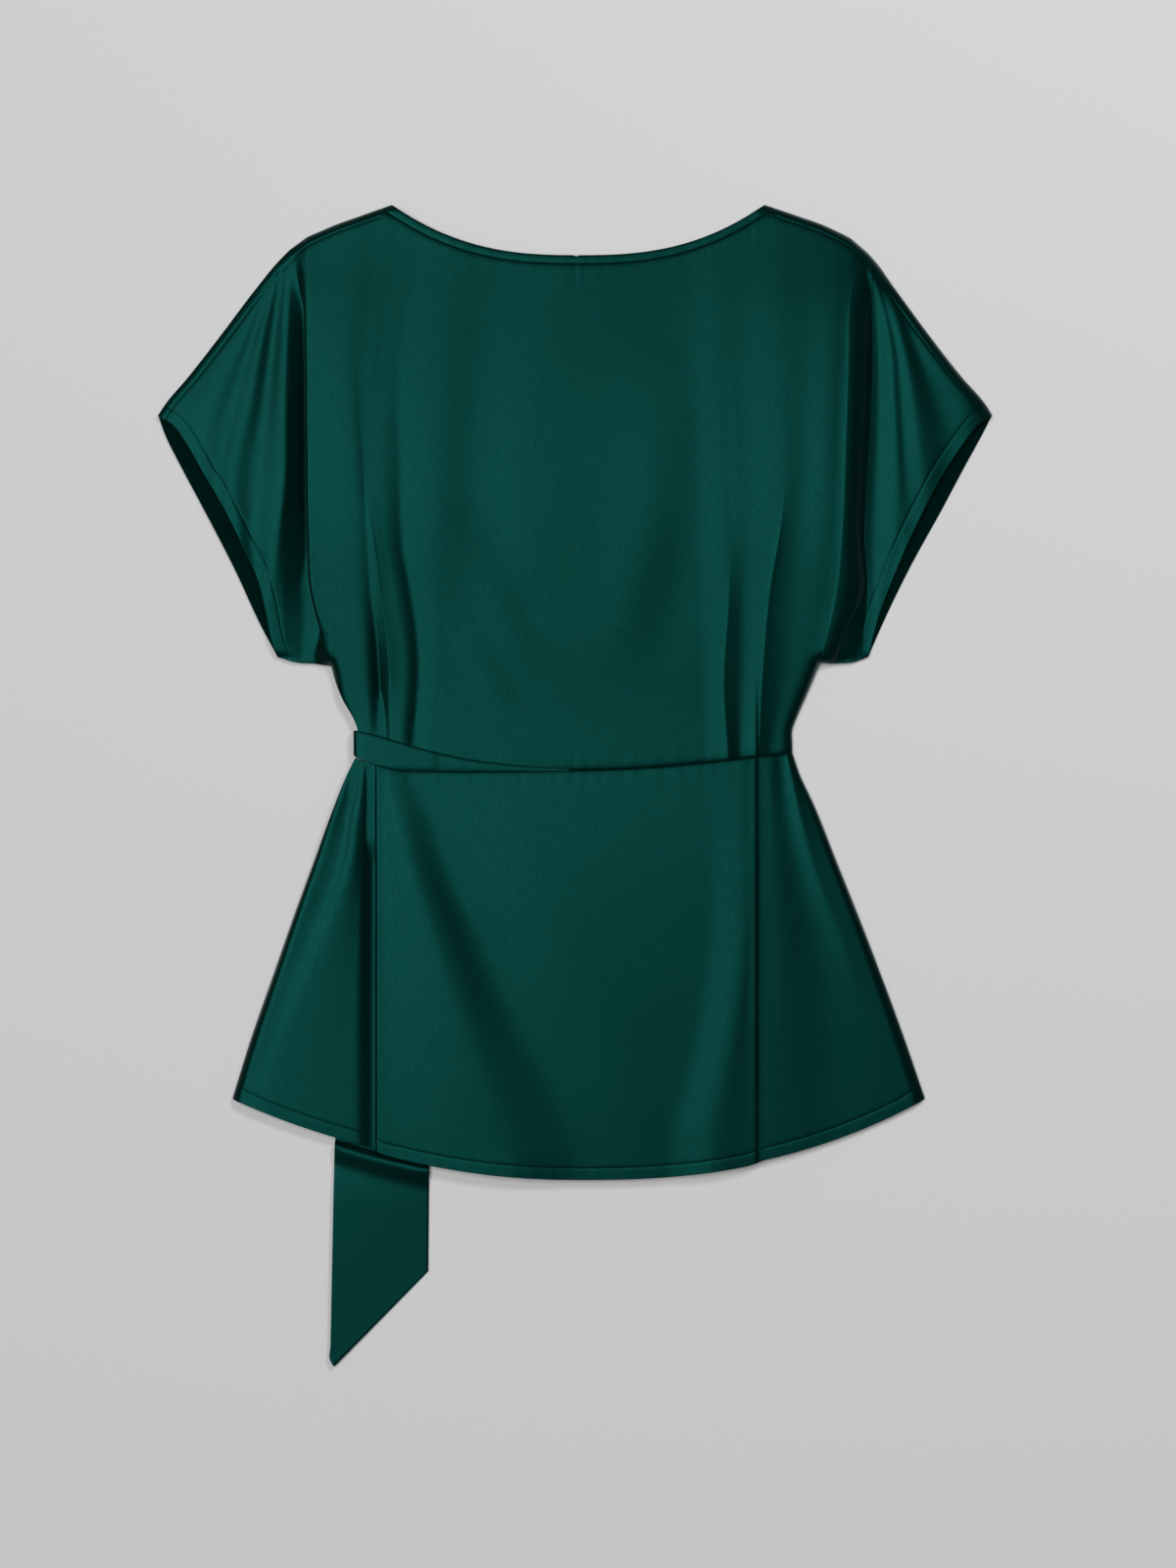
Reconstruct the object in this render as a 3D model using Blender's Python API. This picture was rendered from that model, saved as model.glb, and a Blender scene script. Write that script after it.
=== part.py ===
"""Boat-neck satin blouse with grown-on sleeves, a pleated peplum and a waist tie, laid flat on its back.

+Y runs up to the neck, +X to the viewer's right and +Z away from the surface that it lies on.
Every size is in millimetres until a mesh is made, and the surfaces worked out here are the
middles of the cloth's wall.
"""
from collections import namedtuple

import bmesh
import bpy
import numpy as np

MM = 0.001

# The cloth and how its layers lie
WALL = 1.2
SEAM_GAP = 0.3
LAYER = WALL + SEAM_GAP
BACK_MIDDLE = WALL / 2
WAIST_GAP = 0.35

# Neckline: a boat neck that dips to NECK_LOW between the two neck points
NECK_CENTRE_X = 1.4
NECK_LOW = 378.0
NECK_DIP = 36.4
NECK_HALF = 133.0
NECK_POWER = 2.6
NECK_BAND = 6.0
BACK_NECK_DROP = 1.5
FRONT_NECK_INSET = NECK_BAND + SEAM_GAP
BACK_NECK_INSET = FRONT_NECK_INSET + BACK_NECK_DROP

# Outline of the bodice, columns: y, left x, right x
SHOULDER = (
    (414.4, -131.6, 134.4),
    (407.4, -151.2, 154.7),
    (396.9, -179.2, 182.7),
    (386.4, -199.5, 200.9),
    (375.9, -210.7, 211.4),
    (354.9, -228.2, 226.8),
    (323.4, -252.0, 249.9),
    (291.9, -276.5, 274.4),
    (270.9, -294.0, 292.4),
    (264.0, -298.4, 296.6),
)
CUFF_FRONT = (
    (264.0, -298.4, 296.6),
    (258.0, -288.3, 287.5),
    (243.9, -277.6, 275.8),
    (224.4, -266.4, 262.9),
    (198.5, -251.3, 248.6),
    (171.4, -237.7, 235.7),
    (146.8, -226.9, 225.3),
    (126.0, -221.5, 217.6),
    (104.0, -217.2, 211.1),
    (92.3, -213.5, 208.6),
)
CUFF_BACK = (
    (264.0, -298.4, 296.6),
    (250.0, -293.3, 289.4),
    (229.0, -282.8, 277.9),
    (197.4, -266.0, 261.1),
    (155.4, -244.3, 238.0),
    (113.4, -224.7, 217.7),
    (92.3, -213.5, 208.6),
)
BODY_SIDE = (
    (377.0, -198.0, 202.0),
    (337.0, -194.0, 194.8),
    (292.0, -193.0, 193.2),
    (235.0, -192.3, 191.0),
    (178.0, -191.4, 188.7),
    (140.5, -189.5, 185.6),
    (112.0, -182.4, 180.0),
    (87.0, -174.9, 173.0),
    (71.0, -170.1, 166.6),
    (60.0, -165.5, 161.8),
    (50.0, -159.6, 157.3),
    (40.0, -155.8, 153.6),
    (30.0, -155.8, 153.6),
    (20.0, -156.0, 154.0),
)
UNDERARM_Y = 87.0
UNDERARM_FOOT_Y = 88.2
# Share of the way from the shoulder to the waist at which the underarm lies
UNDERARM_SHARE = 0.821

# Over this height the columns follow the pleats up, outside of this share at each side
PLEAT_RUN = 260.0
PLEAT_EDGE = 0.06

# Waist seam, columns: x, y
WAIST_SEAM = (
    (-158.5, 20.8),
    (-144.0, 15.4),
    (-129.0, 11.6),
    (-95.0, 10.0),
    (-50.0, 10.0),
    (0.0, 10.8),
    (44.0, 12.3),
    (94.0, 16.5),
    (130.0, 20.5),
    (155.0, 23.0),
)

# Peplum outline, columns: y, left x, right x
PEPLUM_SIDE = (
    (23.0, -156.0, 154.0),
    (8.4, -163.2, 158.9),
    (-12.6, -171.5, 168.7),
    (-54.6, -186.9, 185.5),
    (-96.6, -202.3, 202.3),
    (-138.6, -217.0, 218.4),
    (-180.6, -231.7, 233.8),
    (-223.3, -245.0, 248.5),
)
HEM_CENTRE_X = 5.0
HEM_LOW = -280.7
HEM_RISE = 57.4
HEM_LEFT = (250.0, 2.08)
HEM_RIGHT = (243.5, 2.4)
BACK_HEM_RAISE = 2.0
SIDE_WAIST_Y = 22.0
# The two pleats: which outline column each lies beside, its edge, the way out, how much shorter the
# side panel's hem hangs, and how deep the fold goes
Pleat = namedtuple("Pleat", "column edge_x outward hem_raise depth")
LEFT_PLEAT = Pleat(1, -142.8, -1.0, 3.0, 12.0)
RIGHT_PLEAT = Pleat(2, 128.8, 1.0, 1.5, 9.0)

# Height of the front above the surface, columns: y, height on the centre line
CROWN = (
    (416.0, 7.0),
    (378.0, 9.6),
    (340.0, 14.0),
    (280.0, 18.0),
    (200.0, 19.0),
    (120.0, 17.0),
    (60.0, 13.0),
    (10.0, 9.6),
)
CROWN_FALL = 0.2
BODY_HALF = 190.0
SLEEVE_HEIGHT = 8.6
PEPLUM_CROWN = (
    (24.0, 9.6),
    (-30.0, 11.2),
    (-120.0, 12.4),
    (-285.0, 11.0),
)
SIDE_PANEL_HEIGHT = 5.6
# How much lower the bodice lies outside the pleats at the waist, and where that fades out above it
SIDE_DROP = 4.0
SIDE_DROP_FADE = 70.0
SIDE_DROP_RAMP = 1.5

# How far in from each sewn edge the front takes to rise to its full height
SHOULDER_RISE = 34.0
SLEEVE_RISE = 15.0
CUFF_RISE = 45.0
SIDE_RISE = 15.0
PEPLUM_RISE = 12.0

# Folds where the cloth turns under itself: reach of the section each side of the edge
FOLD_REACH = 6.0
SLEEVE_FOLD_DEPTH = (9.0, 3.0)
# Section of such a fold, columns: distance out, distance in per depth, share of the height
FOLD_SECTION = (
    (-FOLD_REACH, 0.0, 1.0),
    (-1.8, 0.0, 0.97),
    (0.0, 0.0, 0.78),
    (-0.4, -0.3, 0.58),
    (-0.4, -1.0, 0.36),
    (-0.2, -0.7, 0.10),
    (2.0, 0.0, 0.0),
    (FOLD_REACH, 0.0, 0.0),
)

# Waist tie
TIE_TOP = (
    (-158.5, 39.6),
    (-141.0, 35.6),
    (-110.6, 26.7),
    (-80.0, 19.6),
    (-50.0, 15.4),
    (-19.6, 12.9),
    (-2.0, 12.2),
)
TIE_START_X = -4.0
TIE_END_X = -150.5
TIE_OUTER_X = -158.9
TIE_LOW = 21.6
TIE_ROLL = 0.7
TIE_HIGH = 39.4
# The tie bridges the pleats that lie this far either side of it
TIE_BRIDGE = 12.0
TIE_CLEARANCE = 0.1
# Crease where the tie turns down, from its high end to its low end, and the layers that meet there
TIE_TURN_HIGH = (-139.0, 40.4)
TIE_TURN_LOW = (-99.0, 1.0)
TURN_LAYER = 2.2
TURN_RUN = 14.0
TAIL_LEFT = (
    (40.4, -139.0),
    (0.0, -144.0),
    (-60.0, -155.0),
    (-150.0, -167.0),
    (-252.7, -172.2),
    (-330.0, -174.0),
    (-400.0, -175.4),
    (-410.0, -175.6),
    (-414.4, -172.8),
)
TAIL_RIGHT = (
    (1.0, -99.0),
    (-60.0, -100.5),
    (-275.0, -105.0),
    (-346.5, -105.7),
)
# Where the tie lifts the back, columns: left, right, low, high, lift
TIE_UNDER_BACK = (
    (-188.0, -86.0, -500.0, 62.0, LAYER),
    (-172.0, -80.0, -36.0, 62.0, TURN_LAYER),
)
LIFT_RAMP = 22.0

SATIN = (0.0035, 0.056, 0.048, 1.0)
SATIN_INSIDE = (0.0025, 0.042, 0.036, 1.0)

# A soft ridge, or a trough where the height is below zero, along a smooth path
Fold = namedtuple("Fold", "path widths height fades sharp")

SLEEVE_FOLDS = (
    # left, from the outer edge inwards
    Fold(((-218, 355), (-244, 317), (-268, 275)), (6, 13), 4.5, (0.3, 0.15), 1.0),
    Fold(((-222, 349), (-240, 300), (-254, 262)), (5, 7), -2.0, (0.3, 0.2), 1.0),
    Fold(((-214, 359), (-231, 311), (-240, 268), (-250, 222)), (5, 10), 4.5, (0.3, 0.2), 1.0),
    Fold(((-217, 346), (-223, 302), (-229, 262), (-236, 200)), (4, 7), -3.2, (0.3, 0.3), 1.0),
    Fold(((-204, 374), (-211, 323), (-215, 260), (-218, 215), (-220, 150)), (5, 9), 5.5, (0.15, 0.3), 0.6),
    Fold(((-202, 366), (-200, 320), (-199, 250), (-199, 180), (-196, 130)), (5, 8), -6.5, (0.15, 0.25), 1.0),
    # right, from the outer edge inwards
    Fold(((225, 353), (246, 321), (267, 288), (277, 269)), (6, 12), 4.5, (0.3, 0.1), 1.0),
    Fold(((231, 340), (246, 292), (254, 252)), (6, 10), -3.0, (0.3, 0.2), 1.0),
    Fold(((217, 355), (225, 323), (233, 277), (241, 232)), (4, 8), 4.0, (0.3, 0.2), 1.0),
    Fold(((214, 345), (220, 300), (227, 250)), (3, 5), -2.2, (0.3, 0.3), 1.0),
    Fold(((214, 352), (219, 317), (223, 239), (225, 195), (217, 150)), (6, 9), 5.0, (0.25, 0.3), 0.8),
    Fold(((206, 362), (205, 313), (202, 218), (200, 176), (199, 135)), (6, 8), -6.0, (0.25, 0.25), 1.0),
)
BODY_FOLDS = (
    # pleats that rise from the waist seam, left and then right
    Fold(((-130, 14), (-131, 60), (-136, 109), (-140, 139), (-148, 200)), (5.5, 8), 3.6, (0.0, 0.5), 1.0),
    Fold(((-118, 12), (-117, 60), (-122, 133), (-128, 166), (-133, 226)), (5, 8), -3.0, (0.0, 0.5), 1.0),
    Fold(((-142, 16), (-142, 50), (-145, 91), (-151, 136)), (4.5, 6), -3.0, (0.0, 0.4), 1.0),
    Fold(((105, 17), (106, 71), (112, 134)), (5.5, 8), 3.0, (0.0, 0.5), 1.0),
    Fold(((114, 18), (116, 60), (124, 114)), (4.5, 6), -2.6, (0.0, 0.4), 1.0),
    Fold(((128, 20), (132, 85), (138, 141), (145, 185)), (5.5, 7), 3.2, (0.0, 0.5), 1.0),
    # long soft drapes from the bust to the middle of the waist
    Fold(((-98, 205), (-62, 113), (8, 30)), (14, 11), 2.2, (0.4, 0.15), 1.0),
    Fold(((-72, 190), (-30, 105), (22, 45)), (12, 10), -1.8, (0.4, 0.2), 1.0),
    Fold(((78, 330), (71, 197), (36, 71)), (20, 14), 2.2, (0.4, 0.3), 1.0),
    Fold(((-128, 400), (-130, 320), (-126, 235)), (12, 12), -2.0, (0.3, 0.3), 1.0),
    Fold(((-108, 395), (-104, 320), (-98, 240)), (12, 14), 1.6, (0.3, 0.4), 1.0),
)
PEPLUM_FOLDS = (
    # cone that opens from the left pleat, and the trough beside it
    Fold(((-135, 8), (-132, -41), (-119, -111), (-104, -195), (-93, -245)), (6, 24), 3.2, (0.05, 0.0), 1.0),
    Fold(((-119, 4), (-93, -69), (-79, -125), (-55, -181), (-34, -240)), (5, 24), -3.0, (0.05, 0.0), 1.0),
    Fold(((113, -60), (92, -181), (68, -255)), (14, 28), 2.2, (0.3, 0.0), 1.0),
    Fold(((20, -120), (14, -200), (8, -285)), (25, 45), -1.6, (0.4, 0.0), 1.0),
    # side panels
    Fold(((-152, 14), (-163, -52), (-178, -93), (-198, -142), (-212, -200)), (4, 14), 4.6, (0.1, 0.4), 1.0),
    Fold(((-149, -40), (-153, -120), (-158, -262)), (5, 11), -2.4, (0.2, 0.0), 1.0),
    Fold(((149, 8), (160, -30), (171, -74), (185, -103), (202, -160)), (4, 15), 4.6, (0.1, 0.4), 1.0),
    Fold(((136, -20), (144, -110), (156, -262)), (5, 16), -1.6, (0.2, 0.0), 1.0),
)


def ramp(low, high, value):
    """Smooth step from 0 at low to 1 at high."""
    t = np.clip((value - low) / (high - low), 0.0, 1.0)
    return t * t * (3.0 - 2.0 * t)


def read_table(rows, column, at):
    """Smooth reading of one column of a table whose first column is the place."""
    table = np.array(sorted(rows), dtype=float)
    places = table[:, 0]
    values = table[:, column]
    slopes = np.gradient(values, places)
    at = np.clip(at, places[0], places[-1])
    i = np.clip(np.searchsorted(places, at) - 1, 0, len(places) - 2)
    span = places[i + 1] - places[i]
    t = (at - places[i]) / span
    rest = 1.0 - t
    start = values[i] * (1.0 + 2.0 * t) * rest**2 + slopes[i] * span * t * rest**2
    end = values[i + 1] * t**2 * (3.0 - 2.0 * t) - slopes[i + 1] * span * t**2 * rest
    return start + end


def even_path(points, count):
    """Points evenly spaced by length on a smooth curve through the given ones."""
    points = np.array(points, dtype=float)
    lengths = np.concatenate([[0.0], np.cumsum(np.linalg.norm(np.diff(points, axis=0), axis=1))])
    fine = np.linspace(0.0, lengths[-1], 12 * len(points))
    table = np.column_stack([lengths, points]).tolist()
    curve = np.column_stack([read_table(table, 1, fine), read_table(table, 2, fine)])
    run = np.concatenate([[0.0], np.cumsum(np.linalg.norm(np.diff(curve, axis=0), axis=1))])
    even = np.linspace(0.0, run[-1], count)
    return np.column_stack([np.interp(even, run, curve[:, axis]) for axis in (0, 1)])


def nearest_on_path(x, y, path):
    """Distance to a path, share of its length at the nearest point, and the side it is on."""
    best = np.full(x.shape, np.inf)
    along = np.zeros(x.shape)
    side = np.ones(x.shape)
    for i in range(len(path) - 1):
        step = path[i + 1] - path[i]
        from_x = x - path[i, 0]
        from_y = y - path[i, 1]
        t = np.clip((from_x * step[0] + from_y * step[1]) / (step @ step), 0.0, 1.0)
        away_x = from_x - t * step[0]
        away_y = from_y - t * step[1]
        distance = np.hypot(away_x, away_y)
        nearer = distance < best
        best = np.where(nearer, distance, best)
        along = np.where(nearer, (i + t) / (len(path) - 1), along)
        side = np.where(nearer, np.sign(step[0] * away_y - step[1] * away_x), side)
    return best, along, side


def folds_height(x, y, folds):
    """Height that all the soft ridges and troughs add at each point."""
    total = np.zeros(x.shape)
    for fold in folds:
        distance, along, side = nearest_on_path(x, y, even_path(fold.path, 24))
        width = fold.widths[0] + (fold.widths[1] - fold.widths[0]) * along
        width = np.where(side > 0, width * fold.sharp, width)
        start_fade = ramp(0.0, fold.fades[0], along) if fold.fades[0] else 1.0
        end_fade = ramp(0.0, fold.fades[1], 1.0 - along) if fold.fades[1] else 1.0
        total += fold.height * np.exp(-((distance / width) ** 2)) * start_fade * end_fade
    return total


def side_edge(table, column):
    """One outline column as a path of points from the top down."""
    return np.array([(row[column], row[0]) for row in table], dtype=float)


def neck_y(x, inset=0.0):
    """Neckline, moved down so that it lies inset millimetres inside the edge."""
    share = np.abs(np.asarray(x, dtype=float) - NECK_CENTRE_X) / NECK_HALF
    slope = NECK_DIP * NECK_POWER * share ** (NECK_POWER - 1.0) / NECK_HALF
    return NECK_LOW + NECK_DIP * share**NECK_POWER - inset * np.sqrt(1.0 + slope**2)


def shoulder_y(x):
    """Height of the shoulder edge above the x of a point on either side."""
    left = [(row[1], row[0]) for row in SHOULDER]
    right = [(row[2], row[0]) for row in SHOULDER]
    return np.where(np.asarray(x) < 0, read_table(left, 1, x), read_table(right, 1, x))


def neck_corner(column, inset):
    """x where the neckline, moved in by inset, meets the shoulder edge of one side."""
    x = np.linspace(SHOULDER[0][column], SHOULDER[2][column], 200)
    return float(np.interp(0.0, neck_y(x, inset) - shoulder_y(x), x))


def hem_y(x):
    """Curved hem, lowest a little right of the middle."""
    off = x - HEM_CENTRE_X
    left = (np.abs(off) / HEM_LEFT[0]) ** HEM_LEFT[1]
    right = (np.abs(off) / HEM_RIGHT[0]) ** HEM_RIGHT[1]
    return HEM_LOW + HEM_RISE * np.where(off < 0, left, right)


def between(low, high, edge, value):
    """1 between low and high, falling smoothly to 0 over edge on both sides."""
    return ramp(low - edge, low, value) * (1.0 - ramp(high, high + edge, value))


def back_middle(x, y):
    """Middle of the back's wall: flat on the surface, and lifted where the tie runs beneath."""
    lift = np.zeros(np.broadcast(x, y).shape)
    for left, right, low, high, layer in TIE_UNDER_BACK:
        lift = lift + layer * between(left, right, LIFT_RAMP, x) * between(low, high, LIFT_RAMP, y)
    return BACK_MIDDLE + lift


def rise(distance, width):
    """Rounded rise of the front beside a sewn edge, as a quarter of an ellipse."""
    rest = 1.0 - np.clip(distance / width, 0.0, 1.0)
    return np.sqrt(1.0 - rest**2)


def seam_distances(x, y):
    """Distance to the shoulder edges, and to the underarm edges with the side seams below."""
    shoulder = np.full(x.shape, np.inf)
    under = np.full(x.shape, np.inf)
    for column in (1, 2):
        edge = side_edge(SHOULDER, column)
        shoulder = np.minimum(shoulder, nearest_on_path(x, y, edge)[0])
        cuff_foot = np.array([[CUFF_FRONT[-1][column], CUFF_FRONT[-1][0]]])
        seam = side_edge([row for row in BODY_SIDE if row[0] <= UNDERARM_Y], column)
        under = np.minimum(under, nearest_on_path(x, y, np.vstack([cuff_foot, seam]))[0])
    return shoulder, under


def side_drop(x):
    """1 on the side panels outside the two pleats, 0 between them."""
    left = 1.0 - ramp(LEFT_PLEAT.edge_x - SIDE_DROP_RAMP, LEFT_PLEAT.edge_x + SIDE_DROP_RAMP, x)
    right = ramp(RIGHT_PLEAT.edge_x - SIDE_DROP_RAMP, RIGHT_PLEAT.edge_x + SIDE_DROP_RAMP, x)
    return left + right


def lowest_front(x, y):
    """The front never lies lower than on top of the back."""
    return back_middle(x, y) + LAYER


def body_height(x, y):
    """Middle of the front's wall over the body."""
    shoulder, under = seam_distances(x, y)
    height = read_table(CROWN, 1, y) * (1.0 - CROWN_FALL * (x / BODY_HALF) ** 2)
    height = height + folds_height(x, y, BODY_FOLDS)
    above_waist = y - read_table(WAIST_SEAM, 1, x)
    height = height - SIDE_DROP * side_drop(x) * (1.0 - ramp(0.0, SIDE_DROP_FADE, above_waist))
    low = lowest_front(x, y)
    height = low + (height - low) * rise(shoulder, SHOULDER_RISE) * rise(under, SIDE_RISE)
    return np.maximum(height, low)


def sleeve_height(x, y, outward):
    """Middle of the front's wall over a sleeve; outward runs from 0 at the body to 1 at the cuff."""
    shoulder, under = seam_distances(x, y)
    width = SLEEVE_RISE + (CUFF_RISE - SLEEVE_RISE) * outward**3
    height = SLEEVE_HEIGHT + folds_height(x, y, SLEEVE_FOLDS)
    low = lowest_front(x, y)
    height = low + (height - low) * rise(shoulder, width) * rise(under, width)
    return np.maximum(height, low)


def fold_strip(edge_x, outward, top, foot, taper, depth):
    """Points of a fold between its top and its foot, in rows, where the cloth turns under itself.

    top and foot are rows of (x, y, z). taper is 0 where the fold has run out. Where the top lies
    little higher than the foot there is no room for the cloth to turn under itself.
    """
    section = np.array(FOLD_SECTION)
    share = np.arange(len(section)) / (len(section) - 1)
    step = top[:, 2] - foot[:, 2]
    strength = taper * np.clip((step - 1.0) / 4.0, 0.0, 1.0)
    depth = depth * np.clip((step - 5.0) / 8.0, 0.0, 1.0)
    columns = []
    for k in range(1, len(section) - 1):
        flat = top + (foot - top) * share[k]
        out, inward, height = section[k]
        folded_x = edge_x + outward * (out + inward * depth)
        folded_z = foot[:, 2] + step * height
        x = flat[:, 0] + (folded_x - flat[:, 0]) * strength
        y = foot[:, 1] + (top[:, 1] - foot[:, 1]) * (x - foot[:, 0]) / (top[:, 0] - foot[:, 0])
        z = flat[:, 2] + (folded_z - flat[:, 2]) * strength
        columns.append(np.column_stack([x, y, z]))
    return columns


def coons(inner, outer, top, bottom, down):
    """Grid of flat points that fills four edges: rows run down, columns run outwards."""
    down = down[:, None, None]
    out = np.linspace(0.0, 1.0, len(top))[None, :, None]
    ruled = (1 - out) * inner[:, None] + out * outer[:, None]
    ruled = ruled + (1 - down) * top[None] + down * bottom[None]
    corners = (1 - out) * (1 - down) * top[0] + out * (1 - down) * top[-1]
    corners = corners + (1 - out) * down * bottom[0] + out * down * bottom[-1]
    return ruled - corners


def fold_inset(down):
    """How far inside the body's edge the body's own columns end, 0 below the underarm."""
    return FOLD_REACH * (1.0 - ramp(UNDERARM_SHARE - 0.1, UNDERARM_SHARE, down))


def body_flat(shares, downs, neck_inset):
    """Flat points of the body: columns across, rows from the neck and shoulders to the waist."""
    top_width = BODY_SIDE[0][2] - BODY_SIDE[0][1] - 2 * FOLD_REACH
    top_x = BODY_SIDE[0][1] + FOLD_REACH + shares * top_width
    top_y = np.minimum(shoulder_y(top_x), neck_y(top_x, neck_inset))
    waist_x = BODY_SIDE[-1][1] + shares * (BODY_SIDE[-1][2] - BODY_SIDE[-1][1])
    waist_y = read_table(WAIST_SEAM, 1, waist_x) + WAIST_GAP
    down = downs[:, None]
    y = top_y + (waist_y - top_y) * down
    inset = fold_inset(down)
    left = read_table(BODY_SIDE, 1, y) + inset
    right = read_table(BODY_SIDE, 2, y) - inset
    even_x = left + (right - left) * shares
    from_edge = np.minimum(shares, 1.0 - shares)
    hold = (1.0 - ramp(0.0, PLEAT_RUN, y - waist_y)) * ramp(0.0, PLEAT_EDGE, from_edge)
    return even_x + (waist_x - even_x) * hold, y


def sleeve_inner_edge(column, outward, down, inset):
    """Where the body's side lies, and the sleeve's innermost column outside of it."""
    top_x = BODY_SIDE[0][column] + outward * FOLD_REACH
    y = shoulder_y(top_x) + (UNDERARM_Y + 0.4 - shoulder_y(top_x)) * down
    edge_x = read_table(BODY_SIDE, column, y)
    return edge_x, np.column_stack([edge_x + outward * (2 * FOLD_REACH - inset), y])


def sleeve_flat(inner, column, cuff, sleeve_columns, down):
    """Flat points of a sleeve: rows from the shoulder to the underarm, columns out to the cuff."""
    shoulder = side_edge(SHOULDER, column)
    shoulder = np.vstack([inner[:1], shoulder[shoulder[:, 1] < inner[0, 1] - 1.0]])
    cuff_edge = side_edge(cuff, column)
    foot_middle = [(inner[-1, 0] + cuff_edge[-1, 0]) / 2, UNDERARM_FOOT_Y]
    foot = np.array([inner[-1], foot_middle, cuff_edge[-1]])
    return coons(
        inner,
        even_path(cuff_edge, len(down)),
        even_path(shoulder, sleeve_columns + 1),
        even_path(foot, sleeve_columns + 1),
        down,
    )


def bodice_grid(shares, sleeve_rows, waist_rows, sleeve_columns, cuff, neck_inset, front):
    """Grid of a bodice panel with both sleeves, and a mask of the points that it uses."""
    rows = sleeve_rows + waist_rows
    sleeve_downs = np.linspace(0.0, UNDERARM_SHARE, sleeve_rows + 1)
    downs = np.concatenate([sleeve_downs, np.linspace(UNDERARM_SHARE, 1.0, waist_rows + 1)[1:]])
    x, y = body_flat(shares, downs, neck_inset)
    z = body_height(x, y) if front else back_middle(x, y)
    body = np.stack([x, y, z], axis=-1)
    down = sleeve_downs / UNDERARM_SHARE
    inset = fold_inset(sleeve_downs)
    sides = []
    for column, outward in ((1, -1.0), (2, 1.0)):
        top = body[: sleeve_rows + 1, 0 if outward < 0 else -1]
        edge_x, inner = sleeve_inner_edge(column, outward, down, inset)
        flat = sleeve_flat(inner, column, cuff, sleeve_columns, down)
        out = np.linspace(0.0, 1.0, sleeve_columns + 1)[None, :]
        if front:
            height = sleeve_height(flat[..., 0], flat[..., 1], out)
        else:
            height = back_middle(flat[..., 0], flat[..., 1])
        sleeve = np.concatenate([flat, height[..., None]], axis=-1)
        if front:
            taper = ramp(0.0, 0.2, down) * (1.0 - ramp(0.88, 1.0, down))
            depth = SLEEVE_FOLD_DEPTH[column - 1]
            strip = fold_strip(edge_x, outward, top, sleeve[:, 0], taper, depth)
        else:
            strip = [(top + sleeve[:, 0]) / 2]
        sides.append(strip + [sleeve[:, k] for k in range(sleeve_columns + 1)])
    columns = sides[0][::-1] + [body[:, k] for k in range(len(shares))] + sides[1]
    grid = np.zeros((rows + 1, len(columns), 3))
    used = np.zeros((rows + 1, len(columns)), dtype=bool)
    for k, points in enumerate(columns):
        grid[: len(points), k] = points
        used[: len(points), k] = True
    return grid, used


def column_shares(columns, places, neck_inset):
    """Shares across the body: set at places on the waist and at the neckline's ends, even between."""
    left = BODY_SIDE[-1][1]
    width = BODY_SIDE[-1][2] - left
    set_shares = [(place - left) / width for place in places] + neck_shares(neck_inset)
    room = 0.4 / (columns - 1)
    spare = [
        share
        for share in np.linspace(0.0, 1.0, columns)
        if np.min(np.abs(np.array(set_shares) - share)) > room
    ]
    return np.array(sorted(set(set_shares + spare + [0.0, 1.0])))


def neck_shares(neck_inset):
    """Shares of the two columns that start at the ends of the neckline."""
    left = BODY_SIDE[0][1] + FOLD_REACH
    width = BODY_SIDE[0][2] - FOLD_REACH - left
    return [(neck_corner(column, neck_inset) - left) / width for column in (1, 2)]


def front_bodice_grid():
    """Front, with columns drawn together at the pleats of the waist."""
    places = (-150, -146, -142, -138, -134, -130, -126, -122, -118, -106, -98)
    places += (96, 102, 105, 113, 117, 122, 126, 130, 134, 140, 147)
    shares = column_shares(20, places, FRONT_NECK_INSET)
    return bodice_grid(shares, 22, 7, 10, CUFF_FRONT, FRONT_NECK_INSET, True)


def back_bodice_grid():
    """Back, lying on the surface."""
    shares = column_shares(15, (-149, -98), BACK_NECK_INSET)
    return bodice_grid(shares, 12, 5, 4, CUFF_BACK, BACK_NECK_INSET, False)


def neck_band_grid(panel, front):
    """Strip along the neckline, from the points at the panel's edge to its ends on the shoulders."""
    drop = 0.0 if front else BACK_NECK_DROP
    panel_inset = FRONT_NECK_INSET if front else BACK_NECK_INSET
    ends = [neck_corner(column, panel_inset) for column in (1, 2)]
    edge_x = panel[0, :, 0]
    inner_x = edge_x[(edge_x > ends[0] - 0.01) & (edge_x < ends[1] + 0.01)]
    inner_x[0] = neck_corner(1, drop + NECK_BAND)
    inner_x[-1] = neck_corner(2, drop + NECK_BAND)
    outer_x = np.interp(inner_x, inner_x[[0, -1]], [neck_corner(1, drop), neck_corner(2, drop)])
    outer_y = neck_y(outer_x, drop)
    inner_y = neck_y(inner_x, drop + NECK_BAND)
    x = np.stack([outer_x, inner_x])
    y = np.stack([outer_y, inner_y])
    z = body_height(x, y) if front else back_middle(x, y)
    return np.stack([x, y, z], axis=-1)


def peplum_height(x, y, side_panel):
    """Middle of the front peplum's wall, on the centre panel or on a side panel."""
    low = lowest_front(x, y)
    if side_panel:
        height = SIDE_PANEL_HEIGHT + folds_height(x, y, PEPLUM_FOLDS[4:])
        from_seam = np.minimum(x - read_table(PEPLUM_SIDE, 1, y), read_table(PEPLUM_SIDE, 2, y) - x)
        height = low + (height - low) * rise(np.maximum(from_seam, 0.0), PEPLUM_RISE)
    else:
        height = read_table(PEPLUM_CROWN, 1, y) + folds_height(x, y, PEPLUM_FOLDS[:4])
    return np.maximum(height, low)


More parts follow.
